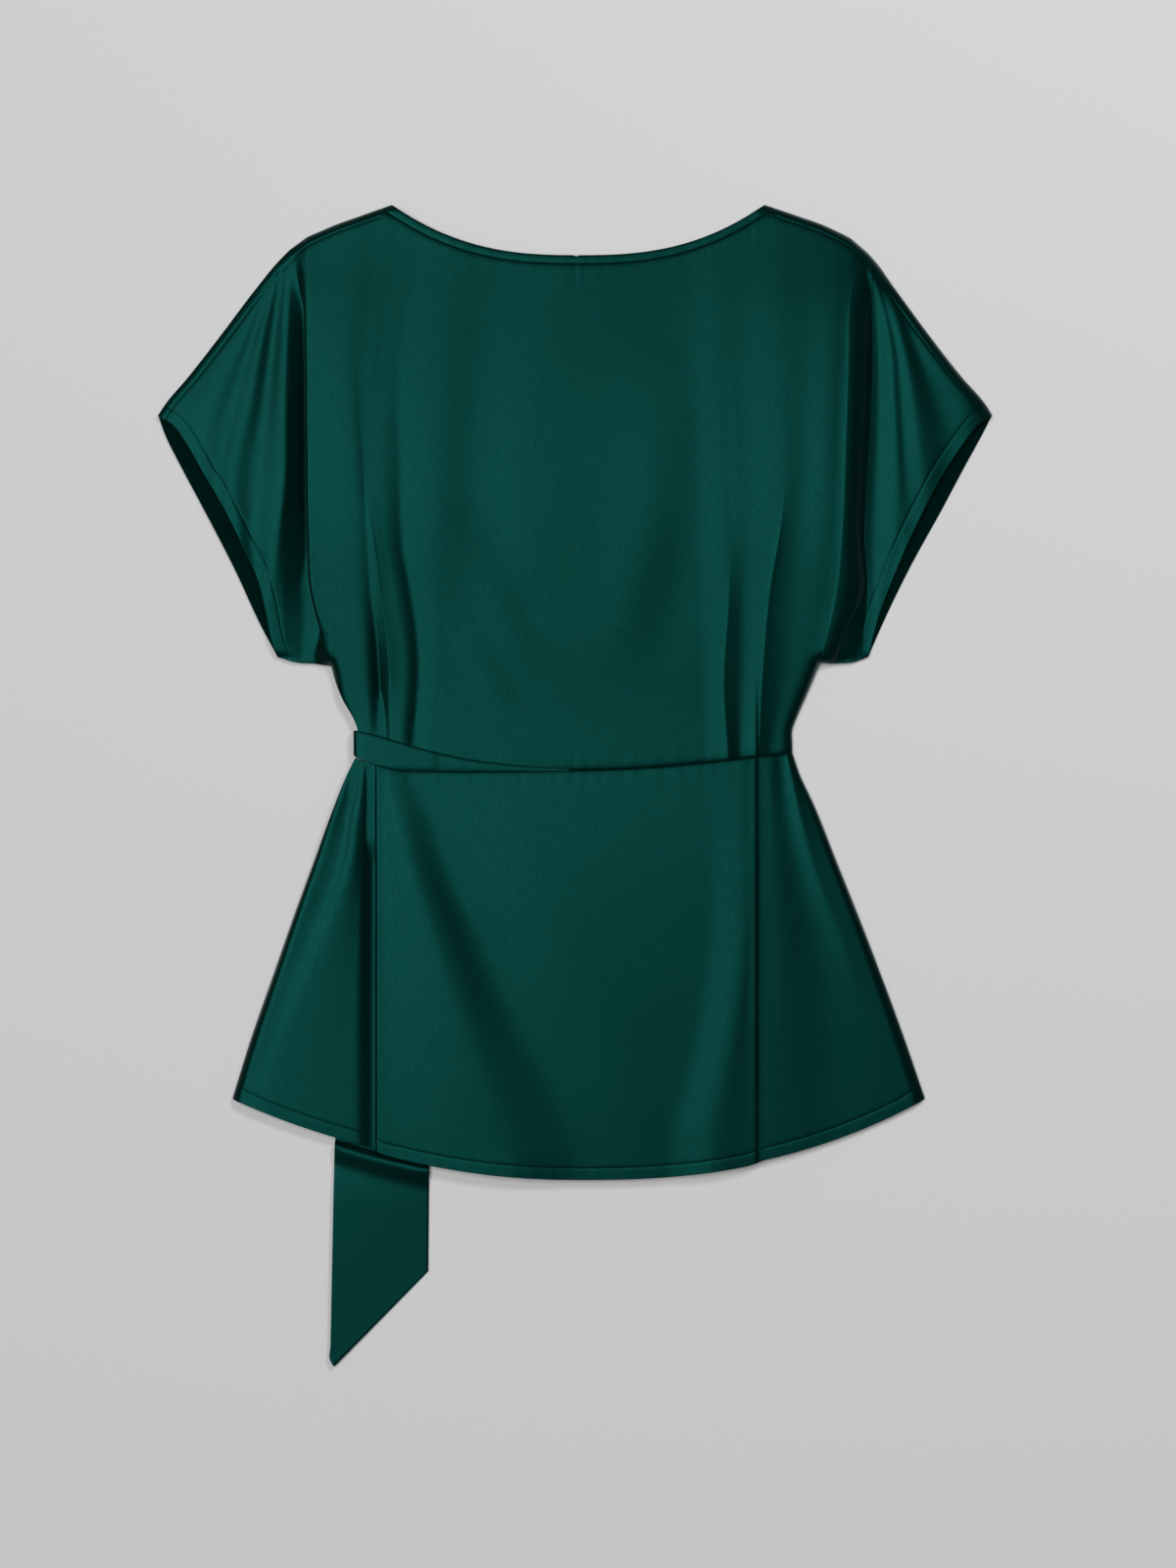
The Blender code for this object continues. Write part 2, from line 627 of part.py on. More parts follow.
def peplum_column_y(waist_x, hem_x, rows, hem_raise):
    """Places down one column of the peplum, from just below the waist seam to the hem."""
    waist_y = read_table(WAIST_SEAM, 1, waist_x) - WAIST_GAP
    return waist_y + (hem_y(hem_x) + hem_raise - waist_y) * np.linspace(0.0, 1.0, rows + 1)


def side_panel_x(y, pleat, share):
    """x across a side panel, from the pleat's foot at share 0 to the side seam at share 1."""
    foot_x = pleat.edge_x + pleat.outward * FOLD_REACH
    return foot_x + (read_table(PEPLUM_SIDE, pleat.column, y) - foot_x) * share


def side_panel_columns(pleat, columns, rows):
    """Columns of a side panel, from the pleat outwards."""
    panel = []
    for share in np.linspace(0.0, 1.0, columns + 1):
        waist_x = side_panel_x(SIDE_WAIST_Y, pleat, share)
        hem_x = side_panel_x(PEPLUM_SIDE[-1][0], pleat, share)
        y = peplum_column_y(waist_x, hem_x, rows, pleat.hem_raise * (1.0 - share))
        x = side_panel_x(y, pleat, share)
        panel.append(np.column_stack([x, y, peplum_height(x, y, True)]))
    return panel


def back_peplum_x(y, share):
    """x across the back peplum, from the left side seam to the right."""
    left = read_table(PEPLUM_SIDE, 1, y)
    return left + (read_table(PEPLUM_SIDE, 2, y) - left) * share


def front_peplum_grid():
    """Front peplum: a side panel, a pleat, the centre panel, a pleat and a side panel."""
    rows = 16
    left_panel = side_panel_columns(LEFT_PLEAT, 6, rows)
    right_panel = side_panel_columns(RIGHT_PLEAT, 6, rows)
    centre = []
    for x in np.linspace(LEFT_PLEAT.edge_x + FOLD_REACH, RIGHT_PLEAT.edge_x - FOLD_REACH, 21):
        y = peplum_column_y(x, x, rows, 0.0)
        column_x = np.full(y.shape, x)
        centre.append(np.column_stack([column_x, y, peplum_height(column_x, y, False)]))
    steady = np.ones(rows + 1)
    left_fold = fold_strip(
        LEFT_PLEAT.edge_x, LEFT_PLEAT.outward, centre[0], left_panel[0], steady, LEFT_PLEAT.depth
    )
    right_fold = fold_strip(
        RIGHT_PLEAT.edge_x, RIGHT_PLEAT.outward, centre[-1], right_panel[0], steady, RIGHT_PLEAT.depth
    )
    columns = left_panel[::-1] + left_fold[::-1] + centre + right_fold + right_panel
    return np.stack(columns, axis=1)


def back_peplum_grid():
    """Back peplum, lying on the surface and on the tie's tail."""
    columns = []
    for share in (0.0, 0.045, 0.09, 0.14, 0.2, 0.25, 0.3, 0.4, 0.5, 0.6, 0.7, 0.8, 0.9, 1.0):
        waist_x = back_peplum_x(SIDE_WAIST_Y, share)
        y = peplum_column_y(waist_x, back_peplum_x(PEPLUM_SIDE[-1][0], share), 10, BACK_HEM_RAISE)
        x = back_peplum_x(y, share)
        columns.append(np.column_stack([x, y, back_middle(x, y)]))
    return np.stack(columns, axis=1)


def tie_on_front(x, y):
    """Middle of the tie's wall where it lies on the front."""
    around = [body_height(x + shift, y) for shift in np.linspace(-TIE_BRIDGE, TIE_BRIDGE, 13)]
    return np.max(around, axis=0) + LAYER + TIE_CLEARANCE


def tie_front_rows(across):
    """Rows of the tie from its end at the waist seam out to the left side."""
    rows = []
    for x in np.linspace(TIE_START_X, TIE_END_X, 16):
        low = read_table(WAIST_SEAM, 1, x) + WAIST_GAP
        y = low + (read_table(TIE_TOP, 1, x) - low) * across
        place = np.full(across.shape, x)
        rows.append(np.column_stack([place, y, tie_on_front(place, y)]))
    return rows


def tie_side_rows(across, top):
    """Rows of the tie round the side of the body, from the last front row to the surface."""
    rows = []
    side_y = TIE_LOW + (TIE_HIGH - TIE_LOW) * across
    reach = top[0, 0] - TIE_OUTER_X - WALL / 2
    for turn in np.linspace(0.0, np.pi, 9)[1:]:
        middle = (top[:, 2] + BACK_MIDDLE) / 2
        fall = np.sign(np.cos(turn)) * abs(np.cos(turn)) ** TIE_ROLL
        height = middle + (top[:, 2] - BACK_MIDDLE) / 2 * fall
        x = np.full(across.shape, top[0, 0] - reach * np.sin(turn) ** TIE_ROLL)
        y = top[:, 1] + (side_y - top[:, 1]) * ramp(0.0, np.pi / 3, turn)
        rows.append(np.column_stack([x, y, height]))
    return rows


def tie_under_rows(across, start):
    """Rows of the tie on the surface, to the crease where it folds over itself."""
    crease = np.array(TIE_TURN_LOW) + np.outer(across, np.subtract(TIE_TURN_HIGH, TIE_TURN_LOW))
    rows = []
    for share in (0.25, 0.5, 0.75, 1.0):
        flat = start + (crease - start) * share
        rows.append(np.column_stack([flat, np.full(across.shape, BACK_MIDDLE)]))
    turned = crease + TURN_LAYER / 3
    rows.append(np.column_stack([turned, np.full(across.shape, BACK_MIDDLE + TURN_LAYER / 2)]))
    return rows


def tie_tail_rows(across):
    """Rows of the tail, from the crease down under the back to its slanted end."""
    rows = []
    for share in (0.0, 0.08, 0.16, 0.24, 0.36, 0.5, 0.64, 0.78, 0.9, 0.96, 0.99, 1.0):
        left_y = TAIL_LEFT[0][0] + (TAIL_LEFT[-1][0] - TAIL_LEFT[0][0]) * share
        right_y = TAIL_RIGHT[0][0] + (TAIL_RIGHT[-1][0] - TAIL_RIGHT[0][0]) * share
        right = np.array([read_table(TAIL_RIGHT, 1, right_y), right_y])
        left = np.array([read_table(TAIL_LEFT, 1, left_y), left_y])
        flat = right + np.outer(across, left - right)
        height = BACK_MIDDLE + TURN_LAYER * ramp(-TURN_RUN, 0.0, flat[:, 1])
        rows.append(np.column_stack([flat, height]))
    return rows


def tie_grid():
    """Tie from the waist seam, round the left side, folded down under the back to its end."""
    across = np.linspace(0.0, 1.0, 5)
    rows = tie_front_rows(across)
    rows += tie_side_rows(across, rows[-1])
    rows += tie_under_rows(across, rows[-1][:, :2])
    rows += tie_tail_rows(across)
    return np.stack(rows)


def satin(name, colour):
    """Satin: a smooth sheen over a deep green."""
    material = bpy.data.materials.new(name)
    material.use_nodes = True
    shader = material.node_tree.nodes["Principled BSDF"]
    shader.inputs["Base Color"].default_value = colour
    shader.inputs["Roughness"].default_value = 0.38
    shader.inputs["Metallic"].default_value = 0.0
    return material


def cloth(name, grid, colour, used=None):
    """Sheet of cloth: quads over the grid, thickened equally to both sides."""
    if used is None:
        used = np.ones(grid.shape[:2], dtype=bool)
    mesh_data = bmesh.new()
    points = {}
    for i, j in zip(*np.nonzero(used)):
        points[i, j] = mesh_data.verts.new(grid[i, j] * MM)
    for i in range(grid.shape[0] - 1):
        for j in range(grid.shape[1] - 1):
            corners = [(i, j), (i + 1, j), (i + 1, j + 1), (i, j + 1)]
            if all(corner in points for corner in corners):
                mesh_data.faces.new([points[corner] for corner in corners])
    mesh = bpy.data.meshes.new(name)
    mesh_data.to_mesh(mesh)
    mesh_data.free()
    piece = bpy.data.objects.new(name, mesh)
    bpy.context.scene.collection.objects.link(piece)
    wall = piece.modifiers.new("wall", "SOLIDIFY")
    wall.thickness = WALL * MM
    wall.offset = 0.0
    mesh.materials.append(satin(name, colour))
    mesh.shade_smooth()
    return piece


def main():
    """The seven pieces of the blouse."""
    for old in list(bpy.data.objects):
        bpy.data.objects.remove(old)
    front_grid, front_used = front_bodice_grid()
    back_grid, back_used = back_bodice_grid()
    cloth("front_bodice", front_grid, SATIN, front_used)
    cloth("back_bodice", back_grid, SATIN_INSIDE, back_used)
    cloth("neck_band_front", neck_band_grid(front_grid, True), SATIN)
    cloth("neck_band_back", neck_band_grid(back_grid, False), SATIN_INSIDE)
    cloth("front_peplum", front_peplum_grid(), SATIN)
    cloth("back_peplum", back_peplum_grid(), SATIN_INSIDE)
    cloth("waist_tie", tie_grid(), SATIN)


main()
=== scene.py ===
# Boat-neck satin blouse laid flat on its back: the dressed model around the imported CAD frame.
# Lengths are millimetres until a mesh is made. +y runs up to the neck, +x to the viewer's right
# and +z out of the front, away from the table.
import math

import bpy
import numpy as np
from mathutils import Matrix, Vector


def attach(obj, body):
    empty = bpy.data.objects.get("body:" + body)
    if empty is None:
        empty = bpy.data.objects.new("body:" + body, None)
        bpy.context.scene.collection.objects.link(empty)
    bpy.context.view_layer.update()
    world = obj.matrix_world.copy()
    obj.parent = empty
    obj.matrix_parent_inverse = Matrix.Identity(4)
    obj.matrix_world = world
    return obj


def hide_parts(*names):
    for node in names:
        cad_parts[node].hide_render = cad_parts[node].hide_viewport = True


mm = 0.001

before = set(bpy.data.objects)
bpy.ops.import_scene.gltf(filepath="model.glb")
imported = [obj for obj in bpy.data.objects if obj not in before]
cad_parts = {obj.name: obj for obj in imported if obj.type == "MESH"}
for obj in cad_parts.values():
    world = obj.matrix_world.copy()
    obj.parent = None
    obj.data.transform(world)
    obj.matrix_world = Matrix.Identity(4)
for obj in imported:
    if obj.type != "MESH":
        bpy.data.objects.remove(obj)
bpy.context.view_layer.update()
bpy.ops.object.select_all(action="DESELECT")
print("frame: the packed model is loaded")


# Camera: straight above the blouse, as in the photograph
cameraSet = {"away": 2500.0, "lens": 80.36, "sensor": 36.0, "centre": (8.4, 1.4), "clipMetres": 20.0}

cameraData = bpy.data.cameras.new("camera")
cameraData.lens = cameraSet["lens"]
cameraData.sensor_width = cameraSet["sensor"]
cameraData.clip_end = cameraSet["clipMetres"]
camera = bpy.data.objects.new("camera", cameraData)
camera.location = [v * mm for v in (*cameraSet["centre"], cameraSet["away"])]
bpy.context.scene.collection.objects.link(camera)
bpy.context.scene.camera = camera
bpy.context.scene.view_settings.view_transform = "Standard"
print("camera: placed")


# Colours and nodes
def linear(hexColour):
    parts = [int(hexColour[i : i + 2], 16) / 255.0 for i in (1, 3, 5)]
    return tuple(c / 12.92 if c <= 0.04045 else ((c + 0.055) / 1.055) ** 2.4 for c in parts) + (1.0,)


def addNode(tree, kind, links=(), **settings):
    node = tree.nodes.new(kind)
    for name, value in settings.items():
        if name in node.inputs:
            node.inputs[name].default_value = value
        else:
            setattr(node, name, value)
    for target, source in links:
        tree.links.new(source, node.inputs[target])
    return node


# Satin: polyester charmeuse, woven with long floats, so it shines softly and along the folds
satin = {
    "deep": "#000D0B",
    "face": "#00120F",
    "reverse": "#00120F",
    "thread": "#42CDBF",
    "shine": "#2FB1A5",
    "reverseShine": "#124B46",
    "roughness": 0.35,
    "reverseRoughness": 0.6,
    "roughSpread": 0.05,
    "ior": 1.5,
    "specular": 0.47,
    "sheen": (0.35, 0.3, "#2FB1A5"),  # weight, roughness, tint: the soft bloom seen along the cloth
    "threadMm": 0.9,  # real floats are about 0.2 mm apart; drawn coarser so that the render shows them
    "floatMm": 9.0,
    "cloudMm": 70.0,
    "cloudAmount": 0.6,
    "bump": (0.12, 0.0001),  # strength, and height in metres
}


def makeSatin(name, colour, shine, roughness):
    material = bpy.data.materials.new(name)
    material.use_nodes = True
    tree = material.node_tree
    shader = tree.nodes["Principled BSDF"]
    place = addNode(tree, "ShaderNodeTexCoord")
    cloth = addNode(tree, "ShaderNodeUVMap", uv_map="cloth")
    threads = addNode(
        tree,
        "ShaderNodeMapping",
        [("Vector", cloth.outputs["UV"])],
        Scale=(1000.0 / satin["threadMm"], 1000.0 / satin["floatMm"], 1.0),
    )
    weave = addNode(tree, "ShaderNodeTexNoise", [("Vector", threads.outputs[0])], Scale=1.0, Detail=2.0)
    clouds = addNode(
        tree,
        "ShaderNodeTexNoise",
        [("Vector", place.outputs["Object"])],
        Scale=1000.0 / satin["cloudMm"],
        Detail=3.0,
    )
    cloudShare = addNode(
        tree,
        "ShaderNodeMapRange",
        [("Value", clouds.outputs[0])],
        **{"From Min": 0.3, "From Max": 0.7, "To Min": 0.0, "To Max": satin["cloudAmount"]},
    )
    tint = addNode(tree, "ShaderNodeMix", [("Factor", cloudShare.outputs[0])], data_type="RGBA")
    tint.inputs[6].default_value = linear(colour)
    tint.inputs[7].default_value = linear(satin["deep"])
    spread = satin["roughSpread"]
    rough = addNode(
        tree,
        "ShaderNodeMapRange",
        [("Value", weave.outputs[0])],
        **{"From Min": 0.25, "From Max": 0.75, "To Min": roughness - spread, "To Max": roughness + spread},
    )
    strength, distance = satin["bump"]
    bump = addNode(
        tree, "ShaderNodeBump", [("Height", weave.outputs[0])], Strength=strength, Distance=distance
    )
    tree.links.new(tint.outputs[2], shader.inputs["Base Color"])
    tree.links.new(rough.outputs[0], shader.inputs["Roughness"])
    tree.links.new(bump.outputs[0], shader.inputs["Normal"])
    shader.inputs["IOR"].default_value = satin["ior"]
    shader.inputs["Specular IOR Level"].default_value = satin["specular"]
    shader.inputs["Specular Tint"].default_value = linear(shine)
    sheenWeight, sheenRoughness, sheenTint = satin["sheen"]
    shader.inputs["Sheen Weight"].default_value = sheenWeight
    shader.inputs["Sheen Roughness"].default_value = sheenRoughness
    shader.inputs["Sheen Tint"].default_value = linear(sheenTint)
    return material


satinFace = makeSatin("satinFace", satin["face"], satin["shine"], satin["roughness"])
satinReverse = makeSatin("satinReverse", satin["reverse"], satin["reverseShine"], satin["reverseRoughness"])
thread = makeSatin("polyesterThread", satin["face"], satin["thread"], satin["reverseRoughness"])
print("material: satin face and reverse, thread")


# Helpers for curves and heights
def ramp(low, high, value):
    t = np.clip((value - low) / (high - low), 0.0, 1.0)
    return t * t * (3.0 - 2.0 * t)


def readTable(rows, column, at):
    table = np.array(sorted(rows), dtype=float)  # first column is the place
    places = table[:, 0]
    values = table[:, column]
    slopes = np.gradient(values, places)
    at = np.clip(at, places[0], places[-1])
    i = np.clip(np.searchsorted(places, at) - 1, 0, len(places) - 2)
    span = places[i + 1] - places[i]
    t = (at - places[i]) / span
    rest = 1.0 - t
    start = values[i] * (1.0 + 2.0 * t) * rest**2 + slopes[i] * span * t * rest**2
    end = values[i + 1] * t**2 * (3.0 - 2.0 * t) - slopes[i + 1] * span * t**2 * rest
    return start + end


def runLengths(points):
    steps = np.linalg.norm(np.diff(points, axis=0), axis=1)
    return np.concatenate([[0.0], np.cumsum(steps)])


def smoothPath(points):
    points = np.array(points, dtype=float)
    table = np.column_stack([runLengths(points), points]).tolist()
    fine = np.linspace(0.0, table[-1][0], 30 * len(points))
    return np.column_stack([readTable(table, 1, fine), readTable(table, 2, fine)])


def alongPath(path, lengths):
    run = runLengths(path)
    return np.column_stack([np.interp(lengths, run, path[:, axis]) for axis in range(path.shape[1])])


def evenPath(path, count, start=0.0, stop=0.0):
    return alongPath(path, np.linspace(start, runLengths(path)[-1] - stop, count))


def nearestOnPath(x, y, path):
    best = np.full(x.shape, np.inf)  # the distance, and the share of the length there
    along = np.zeros(x.shape)
    for i in range(len(path) - 1):
        step = path[i + 1] - path[i]
        fromX = x - path[i, 0]
        fromY = y - path[i, 1]
        t = np.clip((fromX * step[0] + fromY * step[1]) / (step @ step), 0.0, 1.0)
        awayX = fromX - t * step[0]
        awayY = fromY - t * step[1]
        distance = np.hypot(awayX, awayY)
        nearer = distance < best
        best = np.where(nearer, distance, best)
        along = np.where(nearer, (i + t) / (len(path) - 1), along)
    return best, along


def foldsHeight(x, y, folds):
    total = np.zeros(x.shape)
    for path, widths, height, fades in folds:
        distance, along = nearestOnPath(x, y, evenPath(smoothPath(path), 32))
        width = widths[0] + (widths[1] - widths[0]) * along
        fade = ramp(0.0, fades[0], along) if fades[0] else 1.0
        fade = fade * (ramp(0.0, fades[1], 1.0 - along) if fades[1] else 1.0)
        total += height * np.exp(-((distance / width) ** 2)) * fade
    return total


def linesHeight(x, y, lines):
    x, y = np.broadcast_arrays(x, y)
    places = [readTable(rows, 1, y) for kind, rows in lines]
    heights = [readTable(rows, 2, y) for kind, rows in lines]
    total = np.where(x < places[0], heights[0], heights[-1])
    for k in range(len(lines) - 1):
        share = np.clip((x - places[k]) / np.maximum(places[k + 1] - places[k], 0.2), 0.0, 1.0)
        shapes = {
            ("round", "round"): share * share * (3.0 - 2.0 * share),
            ("sharp", "round"): np.sin(share * np.pi / 2),
            ("round", "sharp"): 1.0 - np.cos(share * np.pi / 2),
            ("sharp", "sharp"): share,
        }
        share = shapes[(lines[k][0], lines[k + 1][0])]
        between = (x >= places[k]) & (x < places[k + 1])
        total = np.where(between, heights[k] + (heights[k + 1] - heights[k]) * share, total)
    return total


def edgePath(table, column):
    return smoothPath([(row[column], row[0]) for row in table])


def coons(inner, outer, top, bottom):
    down = (runLengths(inner) / runLengths(inner)[-1])[:, None, None]
    out = (runLengths(top) / runLengths(top)[-1])[None, :, None]
    ruled = (1 - out) * inner[:, None] + out * outer[:, None] + (1 - down) * top[None] + down * bottom[None]
    corners = (1 - out) * (1 - down) * top[0] + out * (1 - down) * top[-1]
    corners = corners + (1 - out) * down * bottom[0] + out * down * bottom[-1]
    return ruled - corners


def bell(value, middle, width):
    return np.exp(-(((value - middle) / width) ** 2))


# The cloth: how thick it shows, and how its layers lie on each other
cloth = {
    "wall": 1.0,
    "layer": 1.3,
    "backMiddle": 0.5,
    "edgeRound": 0.3,
    "edgeSegments": 2,
    "edgeAngle": 60.0,
    "turnLayer": 2.1,
    "liftRamp": 22.0,
    # where the tie lifts the back, columns: left, right, low, high, share of a layer
    "lifts": ((-188.0, -86.0, -500.0, 62.0, "layer"), (-172.0, -80.0, -36.0, 62.0, "turnLayer")),
}


def backMiddle(x, y):
    lift = np.zeros(np.broadcast(x, y).shape)
    edge = cloth["liftRamp"]
    for left, right, low, high, kind in cloth["lifts"]:
        across = ramp(left - edge, left, x) * (1.0 - ramp(right, right + edge, x))
        along = ramp(low - edge, low, y) * (1.0 - ramp(high, high + edge, y))
        lift = lift + cloth[kind] * across * along
    return cloth["backMiddle"] + lift


def clothUv(grid):
    across = np.linalg.norm(np.diff(grid, axis=1), axis=2)
    down = np.linalg.norm(np.diff(grid, axis=0), axis=2)
    u = np.zeros(grid.shape[:2])
    v = np.zeros(grid.shape[:2])
    u[:, 1:] = np.cumsum(across, axis=1)
    u = u - u[:, grid.shape[1] // 2][:, None]
    v[1:] = -np.cumsum(down, axis=0)
    return np.stack([u, v], axis=-1) * mm


def clothPiece(name, grid, outside=1.0, used=None):
    if used is None:
        used = np.ones(grid.shape[:2], dtype=bool)
    number = np.full(used.shape, -1)
    number[used] = np.arange(used.sum())
    uv = clothUv(grid)
    whole = used[:-1, :-1] & used[1:, :-1] & used[1:, 1:] & used[:-1, 1:]
    rows, columns = np.nonzero(whole)
    corners = [(rows, columns), (rows + 1, columns), (rows + 1, columns + 1), (rows, columns + 1)]
    if outside < 0:
        corners = corners[::-1]
    faces = np.stack([number[corner] for corner in corners], axis=1)
    faceUv = np.stack([uv[corner] for corner in corners], axis=1)
    mesh = bpy.data.meshes.new(name)
    mesh.from_pydata((grid[used] * mm).tolist(), [], faces.tolist())
    mesh.uv_layers.new(name="cloth").data.foreach_set("uv", faceUv.ravel())
    mesh.materials.append(satinFace)
    mesh.materials.append(satinReverse)
    mesh.shade_smooth()
    piece = bpy.data.objects.new(name, mesh)
    bpy.context.scene.collection.objects.link(piece)
    wall = piece.modifiers.new("wall", "SOLIDIFY")
    wall.thickness = cloth["wall"] * mm
    wall.offset = 0.0
    wall.material_offset = 1
    rim = piece.modifiers.new("rim", "BEVEL")
    rim.width = cloth["edgeRound"] * mm
    rim.segments = cloth["edgeSegments"]
    rim.limit_method = "ANGLE"
    rim.angle_limit = math.radians(cloth["edgeAngle"])
    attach(piece, "root")
    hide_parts(name.removesuffix(".look"))
    return piece


# Bodice: front and back, each cut in one with its sleeves
bodice = {
    "neckCentreX": 1.4,
    "neckLow": 378.0,
    "neckDip": 36.4,
    "neckHalf": 133.0,
    "neckPower": 2.6,
    "bandWidth": 6.0,
    "seamGap": 0.3,
    "backNeckDrop": 1.5,
    "notch": (0.9, 1.1),  # depth and half width of the nick at the middle of the neck
    # outlines, columns: y, left x, right x
    "shoulder": (
        (414.4, -131.6, 134.4),
        (407.4, -151.2, 154.7),
        (396.9, -179.2, 182.7),
        (386.4, -199.5, 200.9),
        (375.9, -210.7, 211.4),
        (354.9, -228.2, 226.8),
        (323.4, -252.0, 249.9),
        (291.9, -276.5, 274.4),
        (270.9, -294.0, 292.4),
        (264.0, -298.4, 296.6),
    ),
    "cuffFront": (
        (264.0, -298.4, 296.6),
        (258.0, -288.3, 287.5),
        (243.9, -277.6, 275.8),
        (224.4, -266.4, 262.9),
        (198.5, -251.3, 248.6),
        (171.4, -237.7, 235.7),
        (146.8, -226.9, 225.3),
        (126.0, -221.5, 217.6),
        (104.0, -217.2, 211.1),
        (92.3, -213.5, 208.6),
    ),
    "cuffBack": (
        (264.0, -298.4, 296.6),
        (250.0, -293.3, 289.4),
        (229.0, -282.8, 277.9),
        (197.4, -266.0, 261.1),
        (155.4, -244.3, 238.0),
        (113.4, -224.7, 217.7),
        (92.3, -213.5, 208.6),
    ),
    "side": (
        (377.0, -198.0, 202.0),
        (337.0, -194.0, 194.8),
        (292.0, -193.0, 193.2),
        (235.0, -192.3, 191.0),
        (178.0, -191.4, 188.7),
        (140.5, -189.5, 185.6),
        (112.0, -182.4, 180.0),
        (87.0, -174.9, 173.0),
        (71.0, -170.1, 166.6),
        (60.0, -165.5, 161.8),
        (50.0, -159.6, 157.3),
        (40.0, -155.8, 153.6),
        (30.0, -155.8, 153.6),
        (20.0, -156.0, 154.0),
    ),
    "underarmY": 87.0,
    "underarmFootY": 88.2,
    # waist seam, columns: x, y
    "waistSeam": (
        (-158.5, 20.8),
        (-144.0, 15.4),
        (-129.0, 11.6),
        (-95.0, 10.0),
        (-50.0, 10.0),
        (0.0, 10.8),
        (44.0, 12.3),
        (94.0, 16.5),
        (130.0, 20.5),
        (155.0, 23.0),
    ),
    "waistGap": 0.15,
    # height of the front on its centre line, columns: y, height
    "crown": (
        (416.0, 5.4),
        (378.0, 6.8),
        (340.0, 8.8),
        (280.0, 12.0),
        (200.0, 13.4),
        (120.0, 9.6),
        (60.0, 6.6),
        (10.0, 5.6),
    ),
    # how far the edges stand above the middle, and where that starts, is full, fades and ends
    "dish": (2.6, 30.0, 200.0, 320.0, 410.0),
    "half": 190.0,
    # how much lower the cloth lies outside the pleats, over what width, and up to what height
    "sideDrop": (1.0, 1.5, 70.0),
    # how fast the front rises inwards from each sewn edge: two thirds of its height over this distance
    "shoulderRise": 1.8,
    "sleeveRise": 2.2,
    "cuffRise": 2.6,
    "sideRise": 1.7,
    "sleeveSideRise": 3.0,
    # the columns follow the pleats up from the waist over this height, but not at the sides
    "pleatRun": 260.0,
    "pleatEdge": 0.06,
    # where columns stand closer for the pleats: place across, spread, extra density
    "dense": (
        (0.1, 0.07, 1.0),
        (0.87, 0.07, 0.9),
        (0.089, 0.012, 4.5),
        (0.826, 0.012, 4.5),
        (0.914, 0.012, 4.5),
        (0.494, 0.006, 3.0),
        (0.0, 0.015, 2.0),
        (1.0, 0.015, 2.0),
    ),
    "centreSeam": (0.08, 0.7, 348.0, 356.0),  # depth, width, and the heights between which it fades in
    # stitched lines and sunk edges: depth and width
    "seamGroove": (0.3, 0.5),
    "hemGroove": (0.2, 0.6),
    "waistGroove": (0.5, 1.5),
    "neckGroove": (0.3, 1.0),
    "bandCrown": (0.35, 0.2),  # how far a neck band swells, and how far it sinks at its seams
    "bandRows": (0.0, 0.05, 0.15, 0.35, 0.65, 0.85, 0.95, 1.0),
    # columns of the body, its rows beside the sleeve and down to the waist, columns of a sleeve
    "frontMesh": (180, 112, 26, 34),
    "backMesh": (70, 56, 14, 14),
    "underarmClear": 0.4,
    "neckPucker": 0.55,
    # distances at which rows and columns are drawn together along seams and hems
    "seamDepths": (0.0, 0.8, 2.6, 4.4, 5.1, 5.6, 6.1, 6.8, 8.6),
    "hemDepths": (10.4, 9.3, 8.8, 8.4, 8.0, 7.5, 6.4, 4.0, 1.6, 0.5, 0.0),
    "seamLine": 5.6,
    "hemLine": 8.4,
}
# Ridges and valleys in the order they lie, left to right, round or sharp. Columns: y, x, height
leftSleeveLines = (
    ("round", ((355, -229, 3), (323, -252, 3.4), (264, -298, 3.6))),
    ("round", ((355, -221, 3.6), (323, -235, 4.7), (267, -260, 6), (250, -264, 6))),
    ("round", ((355, -218.5, 3.4), (323, -230, 4.2), (267, -247, 5.3), (227, -257, 5.7))),
    ("round", ((359, -215, 3.9), (323, -223.5, 5.3), (267, -234.5, 6.8), (227, -244, 7.2), (200, -245, 7.2),
               (180, -241, 6.8))),
    ("round", ((359, -212, 3.3), (323, -216.5, 4.1), (267, -223, 5.5), (227, -228.5, 6), (200, -230.5, 5.9),
               (180, -231.5, 5.6), (155, -228, 4.8))),
    ("round", ((376, -203.5, 4.2), (355, -205, 4.8), (323, -206.5, 6.1), (267, -208, 8), (218, -208.5, 8.6),
               (180, -213, 7.8), (155, -216, 6.6), (125, -220, 5.2), (92, -215, 3.4))),
    ("sharp", ((376, -200, 4), (355, -200.5, 4), (323, -202, 5), (267, -203, 6.7), (218, -203.5, 7.2),
               (180, -206.5, 6.4), (155, -207.5, 5.4), (125, -209, 4.6), (92, -207, 3.2))),
    ("sharp", ((376, -197, 3.9), (355, -196, 3), (324, -194, 2.2), (300, -192.4, 1.8), (260, -191.4, 1.8),
               (200, -191.2, 1.8), (165, -192.5, 1.8), (147, -197, 2.3), (134, -198, 2.7), (120, -199, 2.9),
               (100, -200, 2.6))),
    ("round", ((376, -194, 4), (355, -193, 3), (300, -190, 1.9), (260, -189, 1.8), (200, -188.5, 1.8),
               (165, -190, 1.8), (147, -191.5, 1.9), (134, -192, 2.1), (118, -192, 2.2),
               (100, -193, 2), (88, -196, 1.8))),
    ("sharp", ((376, -190, 3.6), (324, -189, 2.2), (200, -187, 1.8), (147, -188, 1.8), (120, -184, 1.8),
               (88, -177, 1.8))),
)
